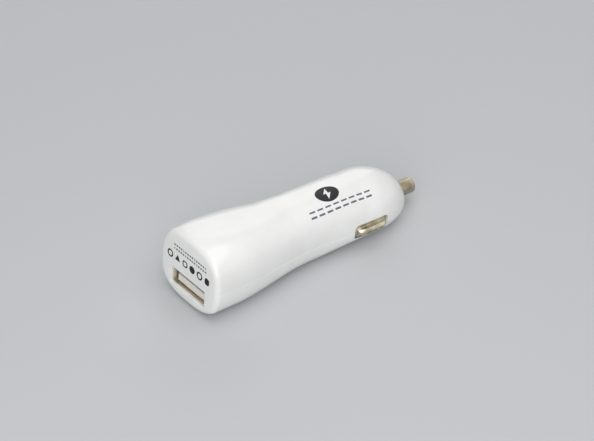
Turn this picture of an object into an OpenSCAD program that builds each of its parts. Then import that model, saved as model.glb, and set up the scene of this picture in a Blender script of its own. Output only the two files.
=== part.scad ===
// Car charger plug: a USB port in a square-ended head, and a plug barrel with side contacts and a centre pin

/* [Housing] */
// width of the head
head_w = 22.45; // [21.8:0.05:23.4]
// height of the head
head_h = 19.65; // [19.1:0.05:20.6]
// length of the head before the sides draw in
head_l = 7.5; // [6.5:0.1:9]
// how much lower the top line starts at the USB face
face_drop = 1.1; // [0.6:0.05:1.5]
// squareness of the head, as the power of its outline
head_power = 2.77; // [2.6:0.01:3.1]
// how fast the squareness fades towards the barrel
fade_power = 0.73; // [0.6:0.01:1]
// rounding round the rim of the USB face
face_edge = 1.4; // [1:0.1:1.8]
// height of the seam, which also carries the pin and the side contacts
seam_z = 8.85; // [8.7:0.05:9.1]
// width at the waist
waist_w = 17.3; // [17:0.1:18.4]
// distance of the waist from the USB face
waist_x = 32.9; // [31:0.1:35]
// height of the underside at the waist
waist_rise = 1.6; // [1.2:0.05:1.9]
// distance of the thumb rest's low line from the USB face
rest_x = 23.95; // [22.5:0.05:25.5]
// height of the thumb rest's low line
rest_z = 18.85; // [18.3:0.05:19.3]
// curve of the fall to the low line
rest_power = 1.95; // [1.6:0.05:2.4]
// curve of the rise behind the low line
rise_power = 2.05; // [1.7:0.05:2.4]
// width of the plug barrel
barrel_w = 18.9; // [18.5:0.05:19.5]
// height of the barrel's top line
barrel_top = 19.2; // [18.9:0.05:19.6]
// height of the barrel's underside
barrel_low = 2.95; // [2.5:0.05:3.05]
// distance of the full barrel from the USB face
barrel_x = 49.6; // [48.5:0.1:51]
// distance of the domed nose from the USB face
dome_x = 53.15; // [52.2:0.05:54.2]
// length of the domed nose
dome_l = 14.65; // [14.3:0.05:15.4]
// power of the nose's outline seen from above
dome_side_power = 2.18; // [2.1:0.01:2.4]
// power of the nose's upper outline
dome_top_power = 1.82; // [1.8:0.01:2]
// power of the nose's lower outline
dome_low_power = 2.38; // [2.3:0.01:2.6]
// thickness of the housing wall
wall = 1.6; // [1.4:0.05:1.7]
// thickness of the wall round the USB opening
face_wall = 1.3; // [1.1:0.05:1.6]
// thickness of the ribs that hold the board
rib_t = 1.2; // [0.9:0.1:1.5]

/* [USB port] */
// width of the opening
slot_w = 13.2; // [13.1:0.05:13.3]
// height of the opening
slot_h = 4.65; // [4.6:0.05:4.8]
// height of the middle of the opening
slot_z = 5.18; // [5:0.02:5.3]
// inner width of the metal shell
port_w = 12.5; // [12.3:0.05:12.7]
// inner height of the metal shell
port_h = 5.12; // [5.1:0.02:5.2]
// depth of the metal shell
port_d = 14; // [13:0.1:14.6]
// depth of the port's mouth behind the USB face
port_in = 0.9; // [0.7:0.05:1.1]
// thickness of the metal shell
port_t = 0.3; // [0.2:0.05:0.35]
// play between the metal shell and the housing
port_play = 0.1; // [0.05:0.05:0.2]
// width of the tongue
tongue_w = 11.2; // [10.8:0.1:11.6]
// thickness of the tongue
tongue_t = 1.84; // [1.7:0.02:1.95]
// gap between the tongue and the near side of the shell
tongue_gap = 0.62; // [0.5:0.02:0.7]
// distance of the tongue's front from the USB face
tongue_in = 2.4; // [2.2:0.1:2.8]
// width of each contact strip on the tongue
strip_w = 1; // [0.8:0.05:1.2]
// thickness of each contact strip
strip_t = 0.2; // [0.15:0.05:0.25]
// distance of the inner contact strips from the middle
strip_in = 1; // [0.95:0.01:1.05]
// distance of the outer contact strips from the middle
strip_out = 3.5; // [3.4:0.02:3.6]
// width of the contacts' legs
leg_w = 0.6; // [0.4:0.05:0.7]

/* [Board] */
// thickness of the circuit board
board_t = 1.6; // [1:0.1:1.6]
// width of the board in the head
board_w = 14.6; // [14.2:0.1:15]
// width of the board's tail
board_tail_w = 11.5; // [11:0.1:11.8]
// distance of the board's tail end from the USB face
board_end = 44; // [43.5:0.1:44.4]
// distance of the step in the board from the USB face
board_step = 24; // [23.7:0.1:24.4]
// gap between the board and the USB shell under it
board_lift = 0.1; // [0.05:0.05:0.3]
// gap between neighbouring parts on the board
part_gap = 0.7; // [0.4:0.05:0.8]
// diameter of the capacitors
cap_d = 6.3; // [5:0.1:6.5]
// free height over the capacitors
cap_room = 1.7; // [1.2:0.1:2.5]
// diameter of the coil
coil_d = 7.8; // [6:0.1:8]
// how much lower the coil is than the capacitors
coil_drop = 0.8; // [0.4:0.1:1.2]
// length of the converter chip
chip_l = 4.9; // [4.4:0.1:5.2]
// width of the converter chip
chip_w = 3.9; // [3.6:0.1:4.1]
// height of the converter chip over the board
chip_h = 1.55; // [1.2:0.05:1.7]
// pitch of the chip's legs
chip_pitch = 1.27; // [1.2:0.01:1.3]
// length of the diode
diode_l = 4.3; // [3.8:0.1:4.5]
// width of the diode
diode_w = 2.6; // [2.2:0.1:2.8]
// height of the diode
diode_h = 2.2; // [1.8:0.1:2.4]
// length of the diode's tabs
tab_l = 0.5; // [0.3:0.05:0.6]
// length of the small parts
chip_part_l = 2; // [1.6:0.1:2.1]
// width of the small parts
chip_part_w = 1.25; // [0.8:0.05:1.3]

/* [Centre pin] */
// diameter of the pin's free end
pin_d = 4.2; // [4:0.05:4.25]
// how much thicker the pin is where it runs in its hole
guide_more = 0.4; // [0.35:0.05:0.45]
// length of the pin outside the nose
pin_out = 5.8; // [5.4:0.05:6.4]
// rounding of the pin's free end
pin_round = 0.8; // [0.4:0.1:1.2]
// play all round between the pin's guide and its hole
pin_play = 0.05; // [0.03:0.01:0.09]
// diameter of the shoulder that stops the pin
shoulder_d = 6.5; // [6:0.1:6.6]
// thickness of the shoulder
shoulder_t = 1.5; // [1:0.1:2]
// depth of the nose wall in front of the shoulder
nose_wall = 5.45; // [5.2:0.05:5.9]
// diameter of the stub that guides the spring
stub_d = 3; // [2.4:0.1:3.2]
// length of the stub
stub_l = 5; // [4:0.1:6]
// diameter of the spring, over the wire
spring_d = 5.6; // [5.2:0.1:5.8]
// diameter of the spring wire
spring_wire = 0.6; // [0.5:0.05:0.7]
// turns of the spring
spring_turns = 9; // [7:1:10]
// length of the spring at rest
spring_l = 12; // [11:0.1:12.5]
// width of the terminal that seats the spring
terminal_w = 5.2; // [4.6:0.1:5.6]
// thickness of the terminal
terminal_t = 0.4; // [0.3:0.05:0.5]

/* [Side contacts] */
// distance of the pockets from the USB face
pocket_x = 45.4; // [45:0.1:46]
// length of the pockets
pocket_l = 11.05; // [10.8:0.05:11.4]
// height of the pockets
pocket_h = 4.1; // [4:0.05:4.3]
// rounding of the pockets' corners
pocket_round = 1.3; // [1.1:0.1:1.4]
// gap between a contact and the edge of its pocket
contact_gap = 0.3; // [0.25:0.05:0.35]
// gap between a contact and each end of its pocket
end_gap = 0.5; // [0.4:0.05:0.6]
// thickness of the contact metal
contact_t = 0.45; // [0.35:0.05:0.5]
// depth of the contact's flange below the barrel's side
flange_in = 0.5; // [0.4:0.05:0.7]
// length of the raised rib on the contact
bump_l = 9.2; // [9:0.1:9.3]
// height of the raised rib on the contact
bump_h = 1.8; // [1.6:0.1:2]
// how far the raised rib stands out of the barrel's side
bump_out = 1.3; // [1:0.1:1.4]
// height of the corner where the raised rib rounds off
bump_round = 0.85; // [0.7:0.05:0.85]
// rounding of the raised rib's ends
bump_end = 1.6; // [1.2:0.1:1.7]
// depth of the contacts' feet under the barrel's inner wall
foot_in = 1.15; // [1.1:0.05:1.3]
// length of each foot
foot_l = 1.1; // [0.8:0.05:1.2]
// width of the feet and legs
foot_w = 2.4; // [2.3:0.05:2.5]
// thickness of the springs behind the contacts
leaf_t = 0.25; // [0.15:0.05:0.3]
// width of those springs
leaf_w = 1; // [0.8:0.05:1.1]
// play between such a spring and the slot in the contact's foot
leaf_play = 0.25; // [0.2:0.05:0.3]

/* [Hidden] */
$fn = 48;
arc_steps = 18;
tip_t = 0.94;
tip_x = dome_x + dome_l * tip_t;
boss_x = tip_x - nose_wall;
overall_l = tip_x + pin_out;
barrel_a = barrel_w / 2;
port_z0 = slot_z - port_h / 2;
port_z1 = slot_z + port_h / 2;
port_x0 = port_in;
port_x1 = port_x0 + port_d;
tongue_z0 = port_z0 + tongue_gap;
tongue_z1 = tongue_z0 + tongue_t;
board_z0 = port_z1 + port_t + board_lift;
board_z1 = board_z0 + board_t;
strip_ys = [-strip_out, -strip_in, strip_in, strip_out];
leg_x = port_x1 + 2 * strip_t;
shoulder_x = boss_x - shoulder_t;
seat_x = shoulder_x - spring_l;
contact_x0 = pocket_x + end_gap;
contact_x1 = pocket_x + pocket_l - end_gap;
contact_zh = pocket_h / 2 - contact_gap;
flange_y = barrel_a - flange_in;
foot_y = barrel_a - wall - foot_in;
bump_y = barrel_a + bump_out;
guide_d = pin_d + guide_more;
cap_h = min(head_h - face_drop, rest_z) - wall - board_z1 - cap_room;
coil_h = cap_h - coil_drop;
rib_y = board_tail_w / 2 - rib_t - 0.2;
coil_x = leg_x + strip_t + part_gap + coil_d / 2;
rib_x = board_step + 2 * part_gap + rib_t;
diode_x = coil_x + coil_d / 2 + part_gap + tab_l + diode_l / 2;
input_x = diode_x + diode_l / 2 + tab_l + part_gap + cap_d / 2;
output_x = port_x0 + 0.6 + part_gap / 2 + cap_d / 2 + part_gap + 2;

function smooth(t) = t * t * (3 - 2 * t);
function between(u, lo, hi) = smooth(min(1, max(0, (u - lo) / (hi - lo))));
function face_k(u) = pow(max(0, 1 - u / head_l), 2);
function side_w(u) = u < waist_x
  ? head_w / 2 + (waist_w / 2 - head_w / 2) * between(u, head_l, waist_x)
  : waist_w / 2 + (barrel_a - waist_w / 2) * between(u, waist_x, barrel_x);
function low_z(u) = u < waist_x
  ? waist_rise * between(u, head_l, waist_x)
  : waist_rise + (barrel_low - waist_rise) * between(u, waist_x, barrel_x);
function top_z(u) = u < head_l ? head_h - face_drop * face_k(u)
  : u < rest_x ? head_h + (rest_z - head_h) * pow((u - head_l) / (rest_x - head_l), rest_power)
  : rest_z + (barrel_top - rest_z) * (1 - pow(1 - min(1, (u - rest_x) / (barrel_x - rest_x)), rise_power));
function power_at(u) = 2 + (head_power - 2) * pow(max(0, 1 - u / barrel_x), fade_power);
function dome(t, p) = t <= 0 ? 1 : pow(1 - pow(min(t, 1), p), 1 / p);
// half width, height over the seam and height under it, a skin of thickness w inside the outer surface
function half_size(u, w) = let(t = (u - dome_x) / (dome_l - w)) [
  (side_w(u) - w) * dome(t, dome_side_power),
  (top_z(u) - seam_z - w) * dome(t, dome_top_power),
  (seam_z - low_z(u) - w) * dome(t, dome_low_power)];
function edge_cut(u) = u < face_edge ? face_edge - sqrt(pow(face_edge, 2) - pow(face_edge - u, 2)) : 0;
// height from the seam to the skin at a distance y from the middle
function reach(u, y, w, up) = let(s = half_size(u, w), p = power_at(u))
  (up ? s[1] : s[2]) * pow(max(0, 1 - pow(min(1, abs(y) / s[0]), p)), 1 / p);

function arc(u, w, up, cut) = let(s = half_size(u, w), p = power_at(u)) [
  for (j = [0 : arc_steps]) let(c = cos(180 * j / arc_steps), d = sin(180 * j / arc_steps)) [
    u,
    (s[0] - cut) * sign(c) * pow(abs(c), 2 / p),
    seam_z + (up ? 1 : -1) * ((up ? s[1] : s[2]) - cut) * pow(abs(d), 2 / p)]];
function steps(lo, hi, n) = [for (k = [1 : n]) lo + (hi - lo) * k / n];
middle_xs = concat(
  steps(head_l, rest_x, 5),
  steps(rest_x, waist_x, 3),
  steps(waist_x, barrel_x, 5),
  [dome_x]);
outer_xs = concat(
  [for (k = [0 : 4]) face_edge * (1 - cos(22.5 * k))],
  steps(face_edge, head_l, 2),
  middle_xs,
  [for (k = [1 : 9]) dome_x + dome_l * sin(asin(tip_t) * k / 9)]);
inner_xs = concat(
  [face_wall],
  steps(face_wall, head_l, 2),
  middle_xs,
  [for (k = [1 : 4]) dome_x + (boss_x - dome_x) * k / 4]);
function backwards(v) = [for (k = [len(v) - 1 : -1 : 0]) v[k]];

module half_housing(up) {
  m = arc_steps;
  rows = len(outer_xs);
  inner_rows = len(inner_xs);
  last = inner_rows + 3;
  pts = concat(
    [for (u = outer_xs) each arc(u, 0, up, edge_cut(u))],
    [for (u = inner_xs) each arc(u, wall, up, 0)]);
  o = function (i, j) i * (m + 1) + j;
  n = function (i, j) rows * (m + 1) + i * (m + 1) + j;
  skin = [for (i = [0 : rows - 2]) for (j = [0 : m - 1])
    each [[o(i, j), o(i + 1, j), o(i + 1, j + 1)], [o(i, j), o(i + 1, j + 1), o(i, j + 1)]]];
  lining = [for (i = [0 : inner_rows - 2]) for (j = [0 : m - 1])
    each [[n(i, j), n(i + 1, j + 1), n(i + 1, j)], [n(i, j), n(i, j + 1), n(i + 1, j + 1)]]];
  ends = [
    [for (j = [0 : m]) o(0, j)],
    [for (j = [m : -1 : 0]) o(rows - 1, j)],
    [for (j = [m : -1 : 0]) n(0, j)],
    [for (j = [0 : m]) n(inner_rows - 1, j)]];
  sides = [for (i = [4 : last - 1]) each [
    [o(i, 0), n(i - 4, 0), n(i - 3, 0)], [o(i, 0), n(i - 3, 0), o(i + 1, 0)],
    [n(i - 4, m), o(i, m), o(i + 1, m)], [n(i - 4, m), o(i + 1, m), n(i - 3, m)]]];
  crossings = [for (i = [0 : rows - 2]) if (i < 3 || i > last)
    each [[o(i, 0), o(i, m), o(i + 1, m)], [o(i, 0), o(i + 1, m), o(i + 1, 0)]]];
  joins = [
    [o(3, m), o(4, m), n(0, m)], [o(3, 0), o(3, m), n(0, m)],
    [o(3, 0), n(0, m), n(0, 0)], [o(3, 0), n(0, 0), o(4, 0)],
    [n(last - 4, m), o(last, m), o(last + 1, m)], [n(last - 4, 0), n(last - 4, m), o(last + 1, m)],
    [n(last - 4, 0), o(last + 1, m), o(last + 1, 0)], [n(last - 4, 0), o(last + 1, 0), o(last, 0)]];
  faces = concat(skin, lining, ends, sides, crossings, joins);
  polyhedron(points = pts, faces = up ? faces : [for (f = faces) backwards(f)], convexity = 8);
}

// box given by its low and high corners
module span(lo, hi) {
  translate(lo)
    cube(hi - lo);
}

// plate that stands along the housing, with round corners, from its low and high corners and its range across
module plate(lo, hi, ys, r) {
  translate([(lo[0] + hi[0]) / 2, ys[1], (lo[1] + hi[1]) / 2])
    rotate([90, 0, 0])
      linear_extrude(ys[1] - ys[0])
        polygon([for (q = [0 : 3]) for (k = [0 : 3])
          let(a = 90 * q + 30 * k, sx = q == 0 || q == 3 ? 1 : -1, sy = q < 2 ? 1 : -1)
          [sx * ((hi[0] - lo[0]) / 2 - r) + r * cos(a), sy * ((hi[1] - lo[1]) / 2 - r) + r * sin(a)]]);
}

module along(x0, d, l) {
  translate([x0, 0, seam_z])
    rotate([0, 90, 0])
      cylinder(d = d, h = l);
}

module openings() {
  span([-1, -slot_w / 2, slot_z - slot_h / 2], [face_wall + 1, slot_w / 2, slot_z + slot_h / 2]);
  span(
    [port_in - port_play, -port_w / 2 - port_t - port_play, port_z0 - port_t - port_play],
    [port_x1 + 0.3, port_w / 2 + port_t + port_play, port_z1 + port_t + port_play]);
  for (s = [-1, 1])
    plate([pocket_x, seam_z - pocket_h / 2], [pocket_x + pocket_l, seam_z + pocket_h / 2],
      s > 0 ? [5, 13] : [-13, -5], pocket_round);
  along(boss_x - 1, guide_d + 2 * pin_play, nose_wall + 3);
}

rib_xs = [rib_x, board_end - 3 * rib_t - 3];
module ribs(up) {
  for (x = rib_xs)
    for (s = [-1, 1])
      span(
        [x, s * rib_y - rib_t / 2, up ? board_z1 : seam_z - reach(x, rib_y, wall / 2, false)],
        [x + rib_t, s * rib_y + rib_t / 2, up ? seam_z + reach(x, rib_y + rib_t, wall / 2, true) : board_z0]);
}

module upper_shell() {
  color("white")
    difference() {
      union() {
        half_housing(true);
        ribs(true);
      }
      openings();
    }
}

module lower_shell() {
  color("white")
    difference() {
      union() {
        half_housing(false);
        ribs(false);
        stop_x = port_x1 + part_gap;
        span(
          [stop_x, -strip_out, seam_z - reach(stop_x, strip_out, wall / 2, false)],
          [stop_x + rib_t, strip_out, tongue_z1 - 2 * strip_t]);
      }
      openings();
    }
}

module usb_shell() {
  color("silver") {
    difference() {
      span(
        [port_x0, -port_w / 2 - port_t, port_z0 - port_t],
        [port_x1, port_w / 2 + port_t, port_z1 + port_t]);
      span([port_x0 - 1, -port_w / 2, port_z0], [port_x1 + 1, port_w / 2, port_z1]);
      for (s = [-1, 1])
        for (z = [port_z0 - 1, port_z1 - 0.5])
          span([port_x0 + 5.2, s * 3 - 1.3, z], [port_x0 + 5.6, s * 3 + 1.3, z + 1.5]);
    }
    for (s = [-1, 1])
      for (x = [port_x0 + 3, port_x1 - 3])
        span(
          [x - 0.6, s * (port_w / 2 + port_t / 2) - port_t / 2, port_z1],
          [x + 0.6, s * (port_w / 2 + port_t / 2) + port_t / 2, board_z1 + 0.5]);
  }
}

module usb_tongue() {
  back = port_x1 - 4.2;
  color("white")
    difference() {
      union() {
        span([tongue_in, -tongue_w / 2, tongue_z0], [back + 1, tongue_w / 2, tongue_z1]);
        span([back, -port_w / 2, port_z0], [port_x1, port_w / 2, port_z1]);
      }
      for (y = strip_ys)
        span([back - 1, y - strip_w / 2, tongue_z1], [port_x1 + 1, y + strip_w / 2, tongue_z1 + strip_t]);
    }
}

module usb_contact(k) {
  y = strip_ys[k];
  front = tongue_in + (abs(y) > 2 ? 0.8 : 1.8);
  color("gold") {
    span([front, y - strip_w / 2, tongue_z1], [leg_x + strip_t, y + strip_w / 2, tongue_z1 + strip_t]);
    span([leg_x, y - leg_w / 2, tongue_z1], [leg_x + strip_t, y + leg_w / 2, board_z1 + leg_w]);
  }
}

module circuit_board() {
  color("darkgreen")
    difference() {
      union() {
        span([port_x0 + 0.6, -board_w / 2, board_z0], [board_step, board_w / 2, board_z1]);
        span([board_step - 1, -board_tail_w / 2, board_z0], [board_end, board_tail_w / 2, board_z1]);
      }
      for (y = strip_ys)
        translate([leg_x + strip_t / 2, y, board_z0 - 1])
          cylinder(d = 1.5 * leg_w, h = board_t + 2);
      for (s = [-1, 1])
        for (x = [port_x0 + 3, port_x1 - 3])
          span(
            [x - 0.7, s * (port_w / 2 + port_t / 2) - port_t / 2 - 0.1, board_z0 - 1],
            [x + 0.7, s * (port_w / 2 + port_t / 2) + port_t / 2 + 0.1, board_z1 + 1]);
    }
}

module capacitor(x) {
  translate([x, 0, board_z1]) {
    difference() {
      span([-cap_d / 2 - 0.15, -cap_d / 2 - 0.15, 0], [cap_d / 2 + 0.15, cap_d / 2 + 0.15, 0.8]);
      for (s = [-1, 1])
        translate([cap_d / 2 + 0.15, s * (cap_d / 2 + 0.15), -1])
          rotate(45)
            cube([1.4, 1.4, 4], center = true);
    }
    cylinder(d = cap_d, h = cap_h - 0.4);
    cylinder(d = cap_d - 0.8, h = cap_h);
  }
}

module input_capacitor() {
  color("silver")
    capacitor(input_x);
}

module output_capacitor() {
  color("silver")
    capacitor(output_x);
}

module inductor_core() {
  color("dimgray")
    translate([coil_x, 0, board_z1]) {
      cylinder(d = coil_d, h = 1);
      cylinder(d = coil_d / 2, h = coil_h);
      translate([0, 0, coil_h - 1])
        cylinder(d = coil_d, h = 1);
    }
}

module inductor_winding() {
  color("peru")
    translate([coil_x, 0, board_z1 + 1])
      difference() {
        cylinder(d = coil_d - 1, h = coil_h - 2);
        translate([0, 0, -1])
          cylinder(d = coil_d / 2, h = coil_h);
      }
}

module converter_chip() {
  x = leg_x + strip_t + part_gap + chip_l / 2;
  knee = chip_w / 2 + 0.75;
  color("black") {
    span([x - chip_l / 2, -chip_w / 2, board_z0 - chip_h], [x + chip_l / 2, chip_w / 2, board_z0 - 0.1]);
    for (s = [-1, 1])
      for (k = [-1.5 : 1 : 1.5])
        translate([x + k * chip_pitch, 0, board_z0 - chip_h / 2])
          mirror([0, s < 0 ? 1 : 0, 0]) {
            span([-0.2, chip_w / 2 - 0.1, -0.1], [0.2, knee, 0.1]);
            span([-0.2, knee - 0.2, -0.1], [0.2, knee, chip_h / 2]);
            span([-0.2, knee - 0.2, chip_h / 2 - 0.2], [0.2, knee + 0.4, chip_h / 2]);
          }
  }
}

module rectifier_diode() {
  color("black")
    translate([diode_x, rib_y - rib_t / 2 - diode_w / 2 - part_gap / 2, board_z1]) {
      span([-diode_l / 2, -diode_w / 2, 0.1], [diode_l / 2, diode_w / 2, diode_h]);
      for (s = [-1, 1])
        span([s * diode_l / 2 - tab_l, -diode_w / 3, 0], [s * diode_l / 2 + tab_l, diode_w / 3, tab_l]);
    }
}

module small_part(x, y, h) {
  l = chip_part_l / 2;
  w = chip_part_w / 2;
  translate([x, y, board_z1]) {
    span([-l, -w, 0], [-l * 0.6, w, h]);
    span([l * 0.6, -w, 0], [l, w, h]);
    span([-l * 0.7, -w * 0.97, h * 0.08], [l * 0.7, w * 0.97, h * 0.92]);
  }
}

module resistor_1() {
  color("black")
    small_part(diode_x - chip_part_l / 2, -rib_y + (rib_t + part_gap + chip_part_w) / 2, chip_part_w * 0.4);
}

module resistor_2() {
  color("black")
    small_part(coil_x - coil_d / 2, board_w / 2 - part_gap - chip_part_w, chip_part_w * 0.4);
}

module ceramic_capacitor() {
  color("tan")
    small_part(board_end - 5, chip_part_w / 2 + part_gap / 2 - rib_y + rib_t, chip_part_w * 0.8);
}

module center_pin() {
  r = pin_d / 2;
  color("silver")
    translate([0, 0, seam_z])
      rotate([0, 90, 0])
        rotate_extrude($fn = 64)
          polygon(concat(
            [[0, shoulder_x - stub_l], [stub_d / 2 - 0.4, shoulder_x - stub_l],
              [stub_d / 2, shoulder_x - stub_l + 0.4], [stub_d / 2, shoulder_x],
              [shoulder_d / 2, shoulder_x], [shoulder_d / 2, boss_x],
              [guide_d / 2, boss_x], [guide_d / 2, tip_x + 0.1], [r, tip_x + 0.2]],
            [for (k = [0 : 6]) [
              r - pin_round + pin_round * cos(15 * k),
              overall_l - pin_round + pin_round * sin(15 * k)]],
            [[0, overall_l]]));
}

function coil_pt(i, n, sides, k) = let(
  a = 360 * spring_turns * i / n,
  flat = spring_wire,
  travel = shoulder_x - seat_x - spring_wire,
  x = seat_x + spring_wire / 2 + travel * smooth_ends(i / n),
  c = 360 * k / sides,
  rr = (spring_d - spring_wire) / 2 + spring_wire / 2 * cos(c))
  [x + spring_wire / 2 * sin(c), rr * cos(a), seam_z + rr * sin(a)];
function smooth_ends(t) = let(e = 1 / spring_turns, q = spring_wire / (shoulder_x - seat_x - spring_wire))
  t < e ? q * t / e : t > 1 - e ? 1 - q * (1 - t) / e : q + (1 - 2 * q) * (t - e) / (1 - 2 * e);

module pin_spring() {
  n = spring_turns * 9;
  sides = 6;
  color("silver")
    polyhedron(
      points = [for (i = [0 : n]) for (k = [0 : sides - 1]) coil_pt(i, n, sides, k)],
      faces = concat(
        [for (i = [0 : n - 1]) for (k = [0 : sides - 1]) let(q = (k + 1) % sides)
          each [
            [i * sides + k, (i + 1) * sides + k, (i + 1) * sides + q],
            [i * sides + k, (i + 1) * sides + q, i * sides + q]]],
        [[for (k = [0 : sides - 1]) k], [for (k = [sides - 1 : -1 : 0]) n * sides + k]]),
      convexity = 10);
}

module pin_terminal() {
  color("silver") {
    half = terminal_w / 2;
    span([board_end - half, -half / 2, board_z1], [seat_x, half / 2, board_z1 + terminal_t]);
    span([seat_x - terminal_t, -half, seam_z - half], [seat_x, half, seam_z + half]);
  }
}

module side_contact() {
  mid = (contact_x0 + contact_x1) / 2;
  r = (pow(bump_h / 2, 2) + pow(bump_round, 2)) / (2 * bump_round);
  difference() {
    union() {
      plate([contact_x0, seam_z - contact_zh], [contact_x1, seam_z + contact_zh],
        [flange_y - contact_t, flange_y], pocket_round - contact_gap);
      for (x = [contact_x0, contact_x1 - contact_t])
        span([x, foot_y - contact_t, seam_z - foot_w / 2], [x + contact_t, flange_y - 0.01, seam_z + foot_w / 2]);
      for (x = [contact_x0 - foot_l, contact_x1 - contact_t])
        span([x, foot_y - contact_t, seam_z - foot_w / 2], [x + foot_l + contact_t, foot_y, seam_z + foot_w / 2]);
      bump_solid(mid, 0, r);
    }
    bump_solid(mid, contact_t, r);
    span(
      [contact_x0 - 2 * foot_l, foot_y - 1, seam_z - leaf_w / 2 - leaf_play],
      [contact_x0 + contact_t + 0.2, flange_y - contact_t, seam_z + leaf_w / 2 + leaf_play]);
  }
}

module bump_solid(mid, w, r) {
  half = bump_l / 2 - w;
  low = w > 0 ? flange_y - contact_t - 1 : flange_y - contact_t / 2;
  intersection() {
    translate([0, 0, seam_z - bump_h / 2 + w])
      linear_extrude(bump_h - 2 * w)
        polygon(concat(
          [[mid - half, low], [mid + half, low], [mid + half, bump_y - w - bump_end]],
          [for (k = [1 : 5]) [
            mid + half - bump_end + bump_end * cos(18 * k),
            bump_y - w - bump_end + bump_end * sin(18 * k)]],
          [for (k = [0 : 4]) [
            mid - half + bump_end - bump_end * sin(18 * k),
            bump_y - w - bump_end + bump_end * cos(18 * k)]],
          [[mid - half, bump_y - w - bump_end]]));
    union() {
      translate([mid - half - 1, bump_y - r, seam_z])
        rotate([0, 90, 0])
          cylinder(r = r - w, h = 2 * half + 2);
      span([mid - half - 1, low - 1, seam_z - bump_h / 2 + w], [mid + half + 1, bump_y - r, seam_z + bump_h / 2 - w]);
    }
  }
}

module side_contact_left() {
  color("silver")
    side_contact();
}

module side_contact_right() {
  color("silver")
    mirror([0, 1, 0])
      side_contact();
}

module contact_leaf() {
  y0 = board_tail_w / 2;
  y1 = flange_y - contact_t;
  translate([0, 0, seam_z - leaf_w / 2])
    linear_extrude(leaf_w)
      polygon([
        [board_end - 4, y0], [board_end, y0], [pocket_x + 3.6, y1 - leaf_t], [pocket_x + 7.4, y1 - leaf_t],
        [pocket_x + 7.8, y1 - leaf_t - 0.5], [pocket_x + 8, y1 - leaf_t - 0.3], [pocket_x + 7.5, y1],
        [pocket_x + 3.5, y1], [board_end, y0 + leaf_t], [board_end - 4, y0 + leaf_t]]);
}

module contact_leaf_left() {
  color("gold")
    contact_leaf();
}

module contact_leaf_right() {
  color("gold")
    mirror([0, 1, 0])
      contact_leaf();
}

translate([-overall_l / 2, 0, 0]) {
  upper_shell();
  lower_shell();
  usb_shell();
  usb_tongue();
  usb_contact(0);  // usb_contact_1
  usb_contact(1);  // usb_contact_2
  usb_contact(2);  // usb_contact_3
  usb_contact(3);  // usb_contact_4
  circuit_board();
  converter_chip();
  inductor_core();
  inductor_winding();
  input_capacitor();
  output_capacitor();
  rectifier_diode();
  resistor_1();
  resistor_2();
  ceramic_capacitor();
  center_pin();
  pin_spring();
  pin_terminal();
  side_contact_left();
  side_contact_right();
  contact_leaf_left();
  contact_leaf_right();
}
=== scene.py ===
"""Looks of a white car charger plug: glossy shells, a USB port, two side contacts and a centre pin."""

import logging
import math
from collections.abc import Callable, Sequence
from dataclasses import dataclass, field
from enum import Enum
from typing import Any

import bmesh
import bpy
import numpy as np
from mathutils import Matrix, Vector


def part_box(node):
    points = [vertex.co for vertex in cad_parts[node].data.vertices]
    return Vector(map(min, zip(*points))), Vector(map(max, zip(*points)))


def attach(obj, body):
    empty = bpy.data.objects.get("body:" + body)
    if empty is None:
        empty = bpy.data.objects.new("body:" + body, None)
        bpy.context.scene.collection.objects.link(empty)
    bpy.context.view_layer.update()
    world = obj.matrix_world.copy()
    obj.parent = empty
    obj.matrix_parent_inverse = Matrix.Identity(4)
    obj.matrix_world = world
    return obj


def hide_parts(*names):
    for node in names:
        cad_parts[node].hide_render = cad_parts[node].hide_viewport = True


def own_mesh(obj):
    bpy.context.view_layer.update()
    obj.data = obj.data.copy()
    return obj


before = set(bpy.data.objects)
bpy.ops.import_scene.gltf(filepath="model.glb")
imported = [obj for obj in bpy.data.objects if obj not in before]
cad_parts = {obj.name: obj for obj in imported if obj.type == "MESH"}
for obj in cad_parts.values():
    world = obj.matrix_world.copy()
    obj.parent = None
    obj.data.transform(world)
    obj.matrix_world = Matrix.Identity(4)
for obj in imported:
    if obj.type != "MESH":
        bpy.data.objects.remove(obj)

MM = 0.001
# The width of one band of a wave texture of scale 1, in metres.
# A diagonal band measures twice that along an axis.
BAND = math.tau / 20
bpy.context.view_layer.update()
LOG = logging.getLogger("charger")
Point = tuple[float, float, float]
Outline = Sequence[tuple[float, float]]
Faces = list[tuple[int, ...]]


# Colours and nodes.


def linear(code: str) -> tuple[float, float, float, float]:
    """Turn a written colour into Blender's linear one.

    Args:
        code: Six hex digits in sRGB, such as "F2F2F0".

    Returns:
        Linear red, green, blue and an alpha of 1.
    """
    parts = [int(code[i : i + 2], 16) / 255 for i in (0, 2, 4)]
    r, g, b = (c / 12.92 if c <= 0.04045 else ((c + 0.055) / 1.055) ** 2.4 for c in parts)
    return (r, g, b, 1.0)


def add_node(
    tree: bpy.types.NodeTree,
    kind: str,
    settings: dict[str, Any] | None = None,
    values: dict[str | int, Any] | None = None,
    links: dict[str | int, bpy.types.NodeSocket] | None = None,
    stops: Sequence[tuple[float, str]] = (),
) -> bpy.types.Node:
    """Add one shader node with its settings, socket values and incoming links.

    Args:
        tree: The node tree it belongs to.
        kind: The node's type, such as "ShaderNodeTexNoise".
        settings: Properties of the node itself.
        values: Values for its input sockets, by name or number.
        links: Output sockets that feed its inputs, by the input's name or number.
        stops: A colour ramp's two stops, each a place from 0 to 1 and a hex colour.

    Returns:
        The new node.
    """
    node = tree.nodes.new(kind)
    for name, value in (settings or {}).items():
        setattr(node, name, value)
    for name, value in (values or {}).items():
        node.inputs[name].default_value = value
    for name, source in (links or {}).items():
        tree.links.new(source, node.inputs[name])
    for k, (place, code) in enumerate(stops):
        node.color_ramp.elements[k].position = place
        node.color_ramp.elements[k].color = linear(code)
    return node


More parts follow.
